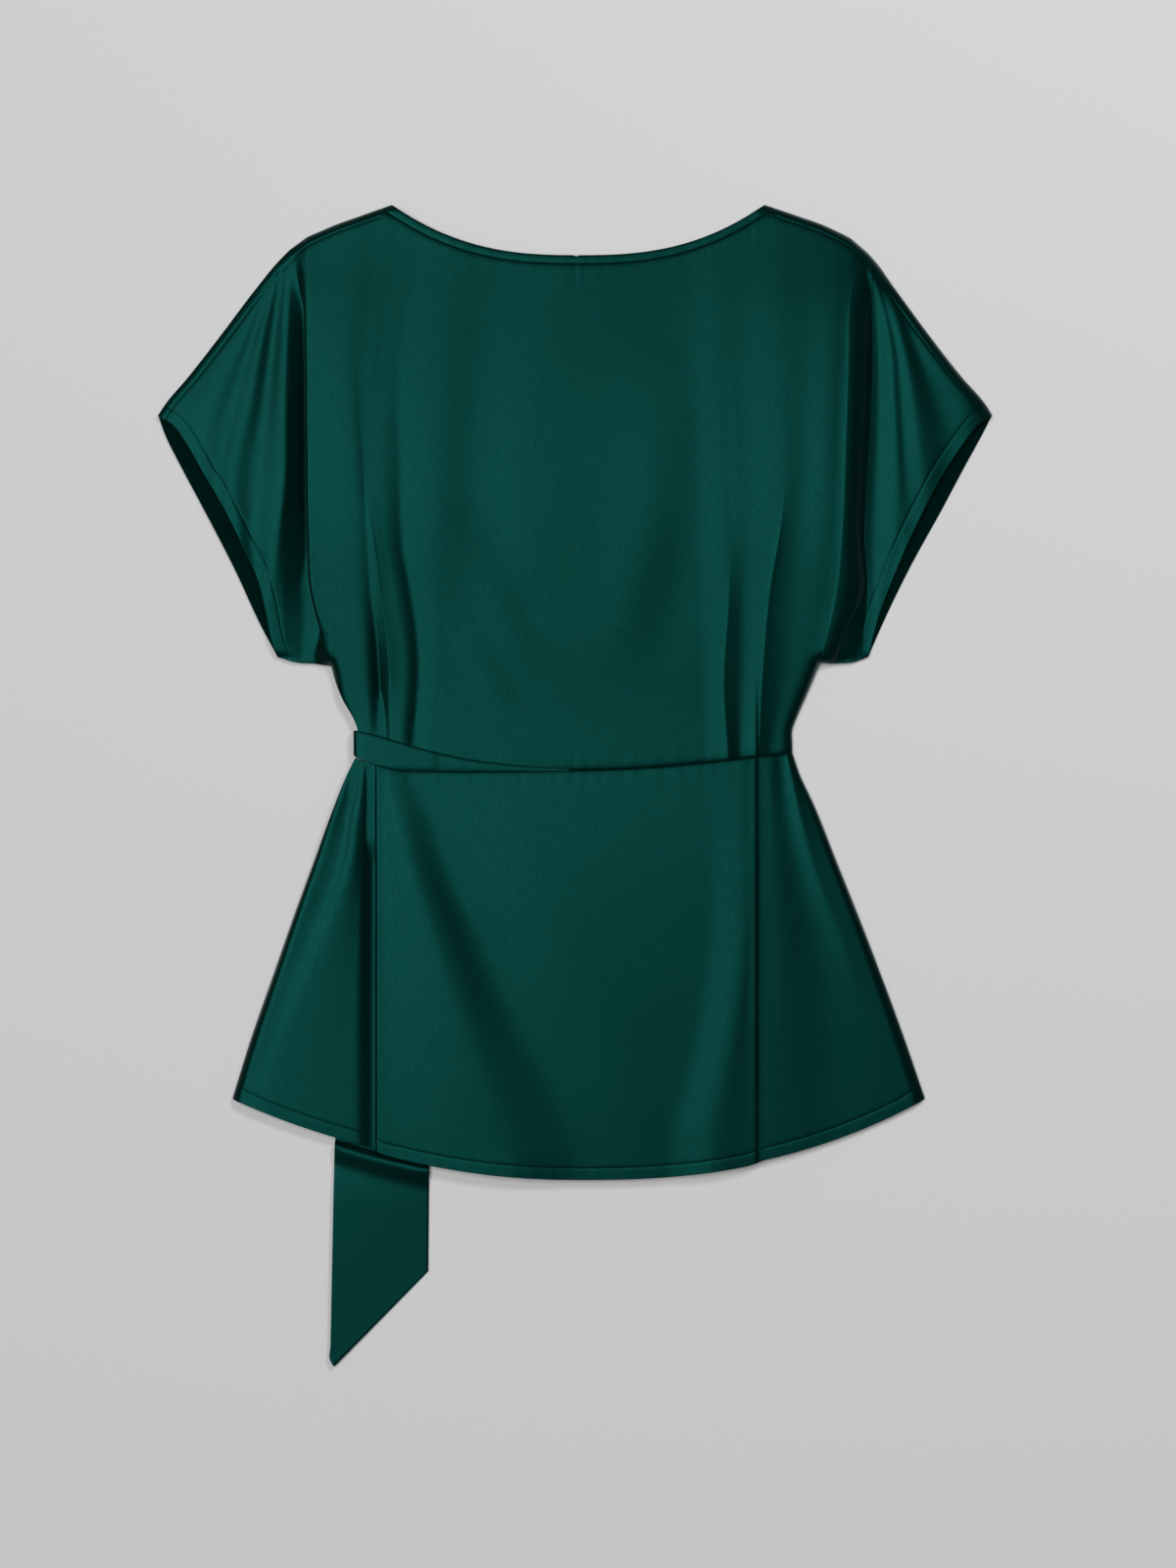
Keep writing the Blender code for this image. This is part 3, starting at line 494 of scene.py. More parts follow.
rightSleeveLines = (
    ("round", ((376, 202, 6), (355, 197, 7), (337, 194.8, 8.2), (281, 191.8, 10), (197, 190, 11),
               (143, 187, 9), (103, 179.6, 6), (88, 175, 4))),
    ("sharp", ((376, 208, 7.3), (365, 209, 7.9), (354, 209.4, 6.6), (340, 209.5, 5), (313, 210, 4.3),
               (260, 209, 4.3), (218, 207, 4.3), (176, 205.5, 4), (145, 207.5, 3.2), (120, 206, 2.6),
               (100, 204, 2.2))),
    ("round", ((376, 208.6, 7.3), (365, 210.5, 7.9), (354, 212, 6.5), (340, 213.5, 4.8), (313, 215, 4),
               (260, 215, 3.9), (218, 213, 3.9), (176, 211, 3.7), (145, 211, 3.2), (120, 210, 2.7),
               (100, 206, 2.3))),
    ("round", ((376, 209, 7.2), (362, 213, 7.4), (340, 219, 5.7), (317, 224, 5.8), (277, 227, 6),
               (239, 229, 6.2), (204, 230, 6), (176, 229, 5.6), (150, 222, 4.4), (120, 215, 3.3))),
    ("round", ((362, 214, 7), (340, 221, 5.6), (317, 227, 5.6), (277, 231, 5.8), (239, 233, 6),
               (204, 236, 5.9))),
    ("round", ((362, 215.5, 6.8), (340, 225.5, 5.9), (317, 232, 6.4), (277, 240, 7), (239, 246, 7.1),
               (204, 250, 6.6))),
    ("round", ((362, 218, 6.4), (340, 231.5, 5.4), (317, 240, 5.6), (277, 256, 6), (250, 264, 6.3))),
    ("round", ((362, 220, 6.2), (340, 235.5, 5.6), (317, 250, 6.3), (277, 280, 6.9))),
    ("round", ((362, 222, 6), (340, 238, 5.5), (323, 250, 5.8), (264, 297, 6.2))),
)
# Offsets from the crown of the body
bodyLines = (
    ("round", ((400, -197, -0.6), (250, -193, -0.8), (140, -189, -0.8), (71, -170, -0.3), (30, -156, 0))),
    ("round", ((400, -156, 0), (300, -163, 0.1), (225, -158, 0.1), (155, -155, 0.1), (93, -150.5, 0.2),
               (36, -146, 0.2), (14, -145, 0.2))),
    ("sharp", ((400, -146, -0.1), (300, -155, -0.1), (225, -151, -0.3), (166, -148, -0.3), (136, -146, -0.6),
               (109, -142.6, -1.4), (91, -141.2, -2.1), (36, -138.8, -2.6), (14, -138, -1.6))),
    ("round", ((400, -136, -0.15), (300, -147, -0.25), (225, -145, -0.3), (199, -143.4, -0.1),
               (166, -138.6, 0.2), (139, -135, 0.4), (109, -131.6, 0.5), (60, -130.6, 0.4), (14, -130, 0.3))),
    ("round", ((400, -124, -0.2), (300, -138, -0.4), (225, -139.5, -0.3), (166, -135.6, 0.1),
               (133, -129, 0.4), (91, -123, 0.4), (33, -125, 0.4), (12, -125, 0.3))),
    ("sharp", ((400, -108, -0.2), (300, -126, -0.6), (225, -125, -1), (166, -123, -1.2), (133, -117, -1.2),
               (91, -112.6, -1.1), (33, -115.6, -1.1), (12, -115.6, -0.9))),
    ("round", ((400, -84, 0), (300, -96, 0.1), (225, -100, 0.1), (166, -100, 0), (91, -98, -0.2),
               (12, -104, -0.1))),
    ("round", ((400, -50, -0.2), (300, -66, -0.5), (225, -72, -0.6), (91, -72, -0.2), (12, -80, 0))),
    ("round", ((400, -10, 0), (225, -36, 0), (12, -40, 0))),
    ("round", ((400, 80, -0.6), (300, 80, -0.9), (190, 86, -0.8), (120, 88, -0.3), (22, 92, 0))),
    ("round", ((400, 104, -0.3), (300, 104, -0.3), (190, 108, 0), (134, 108.5, 0.5), (71, 105, 0.8),
               (22, 108, 0.8))),
    ("round", ((400, 112, -0.2), (300, 113, -0.2), (190, 117, 0.1), (134, 119, 0.1), (71, 118, -0.1),
               (22, 117, -0.5))),
    ("round", ((400, 150, 0.2), (300, 150, 0.8), (183, 145, 1.1), (141, 138, 1), (85, 133, 0.9),
               (26, 130, 0.6))),
    ("round", ((400, 160, 0.2), (300, 162, 0.8), (183, 158, 0.8), (141, 153, 0.6), (85, 149, 0.3),
               (26, 140, -0.1))),
    ("round", ((400, 185, 0.2), (300, 180, 1.2), (183, 176, 1.4), (120, 172, 0.9), (85, 164, 0.7),
               (60, 156, 0.4), (26, 149, 0.1))),
    ("round", ((400, 202, 0), (250, 191.6, 1.1), (140, 186, 1.2), (71, 167, 0.9), (30, 154, 0.4))),
)
# sharp thin creases above the waist: height, and how fast it falls off to the left and the right
# path columns: y, x. The grid has a column along each.
bodyCreases = (
    {"height": 0.5, "falls": (2.2, 2.2), "path": ((215, -150), (199, -147.7), (166, -142.8), (138.6, -139.3),
                                                  (109, -135.1), (80, -133))},
    {"height": 0.4, "falls": (2.2, 3.0), "path": ((165, 109.5), (134, 108.5), (71, 105), (22, 108))},
    {"height": 0.5, "falls": (2.4, 3.0), "path": ((215, 149), (183, 145), (141, 138), (85, 133), (26, 130))},
)
# how a crease fades below its foot and under its top, and how far past them the grid follows it
creaseEnds = {"foot": (25.0, 5.0), "top": 50.0, "above": 80.0, "below": 60.0, "lowest": 50.0, "spread": 16.0}
# soft drapes across the body: path, widths, height, fades
bodyFolds = (
    (((-75, 232), (-52, 155), (0, 56)), (20, 18), -0.7, (0.4, 0.5)),
    (((-83, 197), (-45, 113), (20, 36)), (16, 16), 0.6, (0.4, 0.5)),
    (((-88, 118), (-40, 40)), (10, 10), 0.5, (0.4, 0.5)),
    (((62, 330), (52, 197), (20, 71)), (28, 20), 0.7, (0.4, 0.3)),
    (((82, 232), (72, 140), (46, 50)), (20, 18), -0.35, (0.4, 0.5)),
)
# the edge of the body over each sleeve, and of the centre panel over the side panels, seen in section
turnUnder = {
    "reach": 6.0,
    "samples": 17,
    # columns: distance out, distance in for each unit of depth, share of the height
    "turned": (
        (-6.0, 0.0, 1.0),
        (-3.0, 0.0, 1.0),
        (-1.2, 0.0, 0.98),
        (0.0, 0.0, 0.8),
        (-0.4, -0.3, 0.58),
        (-0.4, -1.0, 0.36),
        (-0.2, -0.7, 0.10),
        (1.0, 0.0, 0.0),
        (6.0, 0.0, 0.0),
    ),
    # the edge that isn't turned under: places from the body's columns to it, and from it to the valley
    "creaseIn": (0.25, 0.45, 0.6, 0.73, 0.83, 0.91, 0.96, 1.0),
    "creaseOut": (0.04, 0.1, 0.18, 0.28, 0.4, 0.55, 0.7, 0.85),
    "lip": (0.4, 2.2),
    "creaseSlope": 0.1,
    # step between the layers where a fold begins to turn, and how much more makes it whole
    "turnStep": (0.5, 1.5),
    "depthStep": (5.0, 8.0),
    # shares of the way down where the valley and the fold are whole, and where they begin to fade
    "valleyEnds": (0.12, 0.8),
    "foldEnds": (0.2, 0.88),
    "backStrip": (0.33, 0.67),
}
# fine ripples that sewing draws up beside seams and hems
pucker = {"long": 13.0, "short": 7.3, "shortShare": 0.6, "height": 0.05, "reach": 11.0}
# how far each ripple drifts, and over what length
pucker["longDrift"] = (1.9, 17.0)
pucker["shortDrift"] = (2.0, 11.0)
nudge = 0.5  # step over which the slope of an edge is taken
leftPleat = {"column": 1, "edgeX": -142.8, "outward": -1.0, "hemRaise": 3.0, "depth": 12.0}
rightPleat = {"column": 2, "edgeX": 128.8, "outward": 1.0, "hemRaise": 1.5, "depth": 9.0}
sleeveSides = (
    {"column": 1, "outward": -1.0, "lines": leftSleeveLines, "turned": True, "depth": 9.0},
    {"column": 2, "outward": 1.0, "lines": rightSleeveLines, "turned": False},
)


def neckY(x, inset=0.0):
    share = np.abs(np.asarray(x, dtype=float) - bodice["neckCentreX"]) / bodice["neckHalf"]
    power = bodice["neckPower"]
    slope = bodice["neckDip"] * power * share ** (power - 1.0) / bodice["neckHalf"]
    return bodice["neckLow"] + bodice["neckDip"] * share**power - inset * np.sqrt(1.0 + slope**2)


def shoulderY(x):
    left = [(row[1], row[0]) for row in bodice["shoulder"]]
    right = [(row[2], row[0]) for row in bodice["shoulder"]]
    return np.where(np.asarray(x) < 0, readTable(left, 1, x), readTable(right, 1, x))


def neckCorner(column, inset):
    x = np.linspace(bodice["shoulder"][0][column], bodice["shoulder"][2][column], 200)
    return float(np.interp(0.0, neckY(x, inset) - shoulderY(x), x))


def rise(distance, width):
    return 1.0 - np.exp(-distance / width)


def stitchedLine(groove, distance, line):
    depth, width = bodice[groove]
    return depth * bell(distance, line, width)


def sunkEdge(groove, distance):
    depth, width = bodice[groove]
    return depth * np.exp(-np.maximum(distance, 0.0) / width)


def puckers(along, distance):
    drift, run = pucker["longDrift"]
    wave = np.sin(2 * np.pi * along / pucker["long"] + drift * np.sin(along / run))
    drift, run = pucker["shortDrift"]
    ripple = np.sin(2 * np.pi * along / pucker["short"] + drift * np.sin(along / run))
    wave = wave + pucker["shortShare"] * ripple
    return pucker["height"] * wave * np.exp(-((distance / pucker["reach"]) ** 2))


def creasesHeight(x, y):
    total = np.zeros(np.broadcast(x, y).shape)
    for crease in bodyCreases:
        off = x - readTable(crease["path"], 1, y)
        fall = np.where(off < 0, *crease["falls"])
        low, high = crease["path"][-1][0], crease["path"][0][0]
        before, after = creaseEnds["foot"]
        fade = ramp(low - before, low + after, y) * (1.0 - ramp(high - creaseEnds["top"], high, y))
        total = total + crease["height"] * np.exp(-np.abs(off) / fall) * fade
    return total


def followCreases(x, y):
    for crease in bodyCreases:
        low, high = crease["path"][-1][0], crease["path"][0][0]
        target = readTable(crease["path"], 1, y)
        row = int(np.argmin(np.abs(y[:, y.shape[1] // 2] - (low + high) / 2)))
        column = int(np.argmin(np.abs(x[row] - target[row])))
        fade = 1.0 - ramp(high, high + creaseEnds["above"], y[:, column])
        if low > creaseEnds["lowest"]:
            fade = fade * ramp(low - creaseEnds["below"], low, y[:, column])
        shift = (target[:, column] - x[:, column]) * fade
        x = x + shift[:, None] * bell(x, x[:, column][:, None], creaseEnds["spread"])
    return x


def seamDistances(x, y):
    shoulder = np.full(x.shape, np.inf)
    under = np.full(x.shape, np.inf)
    for column in (1, 2):
        edge = evenPath(edgePath(bodice["shoulder"], column), 60)
        shoulder = np.minimum(shoulder, nearestOnPath(x, y, edge)[0])
        cuffFoot = np.array([[bodice["cuffFront"][-1][column], bodice["cuffFront"][-1][0]]])
        low = [row for row in bodice["side"] if row[0] <= bodice["underarmY"]]
        seam = np.vstack([cuffFoot, [(row[column], row[0]) for row in low]])
        under = np.minimum(under, nearestOnPath(x, y, seam)[0])
    return shoulder, under


def lowestFront(x, y):
    return backMiddle(x, y) + cloth["layer"]


def bodyHeight(x, y):
    shoulder, under = seamDistances(x, y)
    height = readTable(bodice["crown"], 1, y)
    dish, low, full, fall, high = bodice["dish"]
    height = height + dish * (x / bodice["half"]) ** 2 * ramp(low, full, y) * (1.0 - ramp(fall, high, y))
    height = height + linesHeight(x, y, bodyLines) + foldsHeight(x, y, bodyFolds) + creasesHeight(x, y)
    aboveWaist = y - readTable(bodice["waistSeam"], 1, x)
    drop, soft, top = bodice["sideDrop"]
    outside = 1.0 - ramp(leftPleat["edgeX"] - soft, leftPleat["edgeX"] + soft, x)
    outside = outside + ramp(rightPleat["edgeX"] - soft, rightPleat["edgeX"] + soft, x)
    height = height - drop * outside * (1.0 - ramp(0.0, top, aboveWaist))
    low = lowestFront(x, y)
    height = low + (height - low) * rise(shoulder, bodice["shoulderRise"]) * rise(under, bodice["sideRise"])
    height = height - stitchedLine("seamGroove", shoulder, bodice["seamLine"])
    height = height - sunkEdge("waistGroove", aboveWaist)
    seamDepth, seamWidth, fadeLow, fadeHigh = bodice["centreSeam"]
    height = height - seamDepth * bell(x, 0.0, seamWidth) * ramp(fadeLow, fadeHigh, y)
    height = height + puckers(x, aboveWaist) + puckers(x, bodice["neckPucker"] * (neckY(x) - y))
    return np.maximum(height, low)


def sleeveHeight(x, y, lines, outward=0.0, cuff=np.inf):
    shoulder, under = seamDistances(x, y)
    width = bodice["sleeveRise"] + (bodice["cuffRise"] - bodice["sleeveRise"]) * outward**3
    height = linesHeight(x, y, lines)
    low = lowestFront(x, y)
    height = low + (height - low) * rise(shoulder, width) * rise(under, bodice["sleeveSideRise"])
    height = height - stitchedLine("seamGroove", shoulder, bodice["seamLine"])
    height = height - stitchedLine("hemGroove", cuff, bodice["hemLine"])
    height = height + puckers(y, cuff)
    return np.maximum(height, low)


def creasedStrip(edgeX, top, foot, taper):
    lipHeight, lipFall = turnUnder["lip"]
    reachX = edgeX - top[:, 0]
    edge = top + (foot - top) * (reachX / (foot[:, 0] - top[:, 0]))[:, None]
    edge[:, 2] = top[:, 2]
    columns = []
    for share in turnUnder["creaseIn"]:
        points = top + (edge - top) * share
        points[:, 2] += lipHeight * taper * np.exp(-(1.0 - share) * np.abs(reachX) / lipFall)
        columns.append(points)
    edge = columns[-1]
    straight = turnUnder["creaseSlope"]
    for share in turnUnder["creaseOut"]:
        points = edge + (foot - edge) * share
        fall = straight * share + (1.0 - straight) * share**3
        points[:, 2] = edge[:, 2] + (foot[:, 2] - edge[:, 2]) * fall
        columns.append(points)
    return columns


def turnedStrip(edgeX, outward, top, foot, taper, depth, below):
    shares = np.linspace(0.0, 1.0, turnUnder["samples"])[1:-1]
    rows = turnUnder["turned"]
    section = [(i / (len(rows) - 1), *row) for i, row in enumerate(rows)]
    step = top[:, 2] - foot[:, 2]
    low, span = turnUnder["turnStep"]
    strength = taper * np.clip((step - low) / span, 0.0, 1.0)
    low, span = turnUnder["depthStep"]
    depth = depth * np.clip((step - low) / span, 0.0, 1.0)
    columns = []
    for share in shares:
        flat = top + (foot - top) * share
        out, inward, height = [float(readTable(section, column, share)) for column in (1, 2, 3)]
        foldedX = edgeX + outward * (out + inward * depth)
        x = flat[:, 0] + (foldedX - flat[:, 0]) * strength
        y = foot[:, 1] + (top[:, 1] - foot[:, 1]) * (x - foot[:, 0]) / (top[:, 0] - foot[:, 0])
        base = below(x, y)
        z = flat[:, 2] + (base + (top[:, 2] - base) * height - flat[:, 2]) * strength
        columns.append(np.column_stack([x, y, z]))
    return columns


def bodyFlat(shares, waistRows, sleeveRows, neckInset):
    side = bodice["side"]
    reach = turnUnder["reach"]
    topX = side[0][1] + reach + shares * (side[0][2] - side[0][1] - 2 * reach)
    nearX = topX + nudge
    topY = np.minimum(shoulderY(topX), neckY(topX, neckInset))
    slope = (np.minimum(shoulderY(nearX), neckY(nearX, neckInset)) - topY) / nudge
    strip = topY - np.outer(bodice["seamDepths"], np.sqrt(1.0 + slope**2))
    waistX = side[-1][1] + shares * (side[-1][2] - side[-1][1])
    waistY = readTable(bodice["waistSeam"], 1, waistX) + bodice["waistGap"]
    sideTop = (strip[-1, 0] + strip[-1, -1]) / 2
    underShare = (sideTop - bodice["underarmY"]) / (sideTop - (waistY[0] + waistY[-1]) / 2)
    sleevePart = np.linspace(0.0, underShare, sleeveRows + 1)[1:]
    waistPart = np.linspace(underShare, 1.0, waistRows + 1)[1:]
    down = np.concatenate([sleevePart, waistPart])[:, None]
    y = np.vstack([strip, strip[-1] + (waistY - strip[-1]) * down])
    share = np.concatenate([np.zeros(len(strip)), down[:, 0]])[:, None]
    inset = reach * (1.0 - ramp(underShare - 0.1, underShare, share))
    left = readTable(side, 1, y) + inset
    right = readTable(side, 2, y) - inset
    evenX = left + (right - left) * shares
    fromEdge = np.minimum(shares, 1.0 - shares)
    hold = (1.0 - ramp(0.0, bodice["pleatRun"], y - waistY)) * ramp(0.0, bodice["pleatEdge"], fromEdge)
    x = evenX + (waistX - evenX) * hold
    creasedX = followCreases(x, y)
    seamShift = readTable(bodice["waistSeam"], 1, creasedX) - readTable(bodice["waistSeam"], 1, x)
    return creasedX, y + seamShift * share**4, inset[:, 0]


def sleeveFlat(inner, column, cuffTable, columns):
    seam = np.array(bodice["seamDepths"])
    hem = np.array(bodice["hemDepths"])
    seamRows = len(seam)
    rows = len(inner)
    shoulder = edgePath(bodice["shoulder"], column)
    shoulder = np.vstack([inner[:1], shoulder[shoulder[:, 1] < inner[0, 1] - 1.0]])
    cuff = edgePath(cuffTable, column)
    footMiddle = [(inner[-1, 0] + cuff[-1, 0]) / 2, bodice["underarmFootY"]]
    foot = smoothPath([inner[-1], footMiddle, cuff[-1]])
    side = -1.0 if column == 1 else 1.0

    def inwards(points, turn):
        step = np.gradient(points, axis=0)
        step = step / np.linalg.norm(step, axis=1)[:, None]
        return np.column_stack([step[:, 1], -step[:, 0]]) * turn * side

    shoulderTop = evenPath(shoulder, columns + 1, 0.0, hem[0])
    shoulderEnd = alongPath(shoulder, runLengths(shoulder)[-1] - hem)
    cuffStart = alongPath(cuff, seam)
    cuffLow = evenPath(cuff, rows - seamRows + 1, seam[-1], 0.0)
    seamEdge = shoulderTop + inwards(shoulderTop, 1.0) * seam[-1]
    hemEdge = cuffLow + inwards(cuffLow, 1.0) * hem[0]
    corner = (seamEdge[-1] + hemEdge[0]) / 2
    share = np.linspace(0.0, 1.0, columns + 1)[:, None]
    fromInner = (1 - share) ** 3 * (inner[seamRows - 1] - seamEdge[0])
    seamEdge = seamEdge + fromInner + share**3 * (corner - seamEdge[-1])
    footLow = evenPath(foot, columns + 1, 0.0, hem[0])
    footEnd = alongPath(foot, runLengths(foot)[-1] - hem)
    share = np.linspace(0.0, 1.0, len(cuffLow))[:, None]
    hemEdge = hemEdge + (1 - share) ** 3 * (corner - hemEdge[0]) + share**3 * (footLow[-1] - hemEdge[-1])
    middle = coons(inner[seamRows - 1 :], hemEdge, seamEdge, footLow)
    across = (seam / seam[-1])[:, None, None]
    top = shoulderTop[None] + (seamEdge - shoulderTop)[None] * across
    top[:, 0] = inner[:seamRows]
    out = (1.0 - hem / hem[0])[None, :, None]
    right = hemEdge[:, None] + (cuffLow - hemEdge)[:, None] * out
    right[-1] = footEnd
    leftCorner = shoulderTop[-1] + (corner - shoulderTop[-1]) * across[:, 0]
    bottomCorner = corner + (cuffLow[0] - corner) * out[0]
    tip = coons(leftCorner, cuffStart, shoulderEnd, bottomCorner)
    left = np.concatenate([top[:-1], middle])
    outer = np.concatenate([tip[:-1], right])
    return np.concatenate([left, outer[:, 1:]], axis=1), cuff


def bodiceGrid(shares, sleeveRows, waistRows, sleeveColumns, cuffTable, neckInset, front):
    x, y, inset = bodyFlat(shares, waistRows, sleeveRows, neckInset)
    z = bodyHeight(x, y) if front else backMiddle(x, y)
    if front:
        z = z - sunkEdge("neckGroove", neckY(x, neckInset) - y)
    body = np.stack([x, y, z], axis=-1)
    last = len(bodice["seamDepths"]) + sleeveRows
    sides = []
    for sleeve in sleeveSides:
        column = sleeve["column"]
        outward = sleeve["outward"]
        lines = sleeve["lines"]
        top = body[:last, 0 if outward < 0 else -1]
        footTopX = bodice["side"][0][column] + outward * turnUnder["reach"]
        footTopY = float(shoulderY(footTopX))
        down = (top[0, 1] - top[:, 1]) / (top[0, 1] - top[-1, 1])
        footY = footTopY + (bodice["underarmY"] + bodice["underarmClear"] - footTopY) * down
        edgeX = readTable(bodice["side"], column, footY)
        innerX = edgeX + outward * (2 * turnUnder["reach"] - inset[:last])
        if not sleeve["turned"]:
            valleyX = readTable(lines[1][1], 1, footY)
            full, fades = turnUnder["valleyEnds"]
            innerX = innerX + (valleyX - innerX) * ramp(0.0, full, down) * (1.0 - ramp(fades, 1.0, down))
        inner = np.column_stack([innerX, footY])
        flat, cuff = sleeveFlat(inner, column, cuffTable, sleeveColumns)
        if front:
            out = np.clip(np.arange(flat.shape[1]) / sleeveColumns, 0.0, 1.0)[None, :]
            fromCuff = nearestOnPath(flat[..., 0], flat[..., 1], evenPath(cuff, 80))[0]
            height = sleeveHeight(flat[..., 0], flat[..., 1], lines, out, fromCuff)
        else:
            height = backMiddle(flat[..., 0], flat[..., 1])
        spread = np.concatenate([flat, height[..., None]], axis=-1)
        if front:
            full, fades = turnUnder["foldEnds"]
            taper = ramp(0.0, full, down) * (1.0 - ramp(fades, 1.0, down))
            below = lambda x, y, lines=lines: sleeveHeight(x, y, lines)
            if sleeve["turned"]:
                strip = turnedStrip(edgeX, outward, top, spread[:, 0], taper, sleeve["depth"], below)
            else:
                strip = creasedStrip(edgeX, top, spread[:, 0], taper)
        else:
            strip = [top + (spread[:, 0] - top) * share for share in turnUnder["backStrip"]]
        sides.append(strip + [spread[:, k] for k in range(spread.shape[1])])
    columns = sides[0][::-1] + [body[:, k] for k in range(len(shares))] + sides[1]
    grid = np.zeros((len(body), len(columns), 3))
    used = np.zeros(grid.shape[:2], dtype=bool)
    for k, points in enumerate(columns):
        grid[: len(points), k] = points
        used[: len(points), k] = True
    return grid, used


def columnShares(count, neckInset):
    side = bodice["side"]
    left = side[0][1] + turnUnder["reach"]
    width = side[0][2] - turnUnder["reach"] - left
    fixed = [(neckCorner(column, neckInset) - left) / width for column in (1, 2)]
    fine = np.linspace(0.0, 1.0, 2000)
    density = 1.0 + sum(extra * bell(fine, place, spread) for place, spread, extra in bodice["dense"])
    run = np.cumsum(density)
    even = np.interp(np.linspace(run[0], run[-1], count), run, fine)
    spare = [s for s in even if min(abs(s - f) for f in fixed) > 0.2 / (count - 1)]
    return np.array(sorted(set(fixed + spare + [0.0, 1.0])))


frontNeckInset = bodice["bandWidth"] + bodice["seamGap"]
backNeckInset = frontNeckInset + bodice["backNeckDrop"]
frontColumns, *frontCounts = bodice["frontMesh"]
backColumns, *backCounts = bodice["backMesh"]
frontGrid, frontUsed = bodiceGrid(
    columnShares(frontColumns, frontNeckInset), *frontCounts, bodice["cuffFront"], frontNeckInset, True
)
backGrid, backUsed = bodiceGrid(
    columnShares(backColumns, backNeckInset), *backCounts, bodice["cuffBack"], backNeckInset, False
)
print("bodice: grids worked out")


# Raised thread along the cuffs and the hem
stitch = {
    "pitch": 3.0,
    "long": 2.2,
    "wide": 0.55,
    "high": 0.3,
    "base": 0.5,
    "clear": 14.0,
    "hemEnds": (-236.0, 238.0),
    "pleatClear": {"left": 10.0, "centre": 9.0, "right": 8.0},
    "raiseFades": (130.0, 90.0),  # from this far out, and over this much, the raised hem falls back
}


def stitchPiece(name, rows):
    vertices = []
    faces = []
    for row in rows:
        step = np.gradient(row, axis=0)
        along = step / np.linalg.norm(step, axis=1)[:, None] * stitch["long"] / 2
        sideways = np.column_stack([-along[:, 1], along[:, 0], np.zeros(len(row))])
        across = sideways * stitch["wide"] / stitch["long"]
        up = np.array([0.0, 0.0, stitch["high"]])
        for centre, forward, side in zip(row, along, across):
            first = len(vertices)
            vertices += [centre - forward, centre + side, centre + forward, centre - side, centre + up]
            faces += [(first + i, first + (i - 1) % 4, first + 4) for i in range(4)]
            faces.append(tuple(first + i for i in range(4)))
    mesh = bpy.data.meshes.new(name)
    mesh.from_pydata((np.array(vertices) * mm).tolist(), [], faces)
    mesh.materials.append(thread)
    piece = bpy.data.objects.new(name, mesh)
    bpy.context.scene.collection.objects.link(piece)
    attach(piece, "root")
    return piece


def cuffStitches(sleeve):
    column = sleeve["column"]
    cuff = edgePath(bodice["cuffFront"], column)
    length = runLengths(cuff)[-1]
    places = np.arange(stitch["clear"], length - stitch["clear"], stitch["pitch"])
    points = alongPath(cuff, places)
    step = np.gradient(points, axis=0)
    step = step / np.linalg.norm(step, axis=1)[:, None]
    points = points + np.column_stack([step[:, 1], -step[:, 0]]) * sleeve["outward"] * bodice["hemLine"]
    fromCuff = np.full(len(points), bodice["hemLine"])
    height = sleeveHeight(points[:, 0], points[:, 1], sleeve["lines"], 1.0, fromCuff)
    return np.column_stack([points, height + stitch["base"]])


frontBodice = clothPiece("front_bodice.look", frontGrid, 1.0, frontUsed)
cuffThread = stitchPiece("cuff_stitches", [cuffStitches(sleeve) for sleeve in sleeveSides])
backBodice = clothPiece("back_bodice.look", backGrid, -1.0, backUsed)
print("bodice: front and back")


def neckBandGrid(panel, front):
    drop = 0.0 if front else bodice["backNeckDrop"]
    ends = [neckCorner(column, drop + frontNeckInset) for column in (1, 2)]
    edgeX = panel[0, :, 0]
    innerX = edgeX[(edgeX > ends[0] - 0.01) & (edgeX < ends[1] + 0.01)]
    innerX[0] = neckCorner(1, drop + bodice["bandWidth"])
    innerX[-1] = neckCorner(2, drop + bodice["bandWidth"])
    outerX = np.interp(innerX, innerX[[0, -1]], [neckCorner(1, drop), neckCorner(2, drop)])
    swell, sink = bodice["bandCrown"]
    rows = []
    for share in bodice["bandRows"]:
        x = outerX + (innerX - outerX) * share
        y = neckY(outerX, drop)
        y = y - bodice["notch"][0] * bell(outerX, 0.0, bodice["notch"][1])
        y = y + (neckY(innerX, drop + bodice["bandWidth"]) - y) * share
        z = bodyHeight(x, y) if front else backMiddle(x, y)
        if front:
            z = z + swell * (1.0 - (2.0 * share - 1.0) ** 4) - sink
        rows.append(np.column_stack([x, y, z]))
    return np.stack(rows)


bandFront = clothPiece("neck_band_front.look", neckBandGrid(frontGrid, True))
bandBack = clothPiece("neck_band_back.look", neckBandGrid(backGrid, False), -1.0)
print("neck: bands")


# Peplum: a front with a pleat turned under at each side, and a flat back
peplum = {
    # outline, columns: y, left x, right x
    "side": (
        (23.0, -156.0, 154.0),
        (8.4, -163.2, 158.9),
        (-12.6, -171.5, 168.7),
        (-54.6, -186.9, 185.5),
        (-96.6, -202.3, 202.3),
        (-138.6, -217.0, 218.4),
        (-180.6, -231.7, 233.8),
        (-223.3, -245.0, 248.5),
    ),
    "hemCentreX": 5.0,
    "hemLow": -280.7,
    "hemRise": 57.4,
    "hemLeft": (250.0, 2.08),
    "hemRight": (243.5, 2.4),
    "backRaise": 2.0,
    "waistY": 22.0,
    "crown": ((24.0, 7.0), (-15.0, 8.8), (-60.0, 9.8), (-120.0, 9.6), (-200.0, 8.6), (-285.0, 7.2)),
    "rise": 1.0,
    "rows": 92,
    "waistDepths": (0.0, 0.7, 1.6),
    "panelColumns": 24,
    "centreColumns": 100,
    "backColumns": 70,
    "backRows": 46,
}
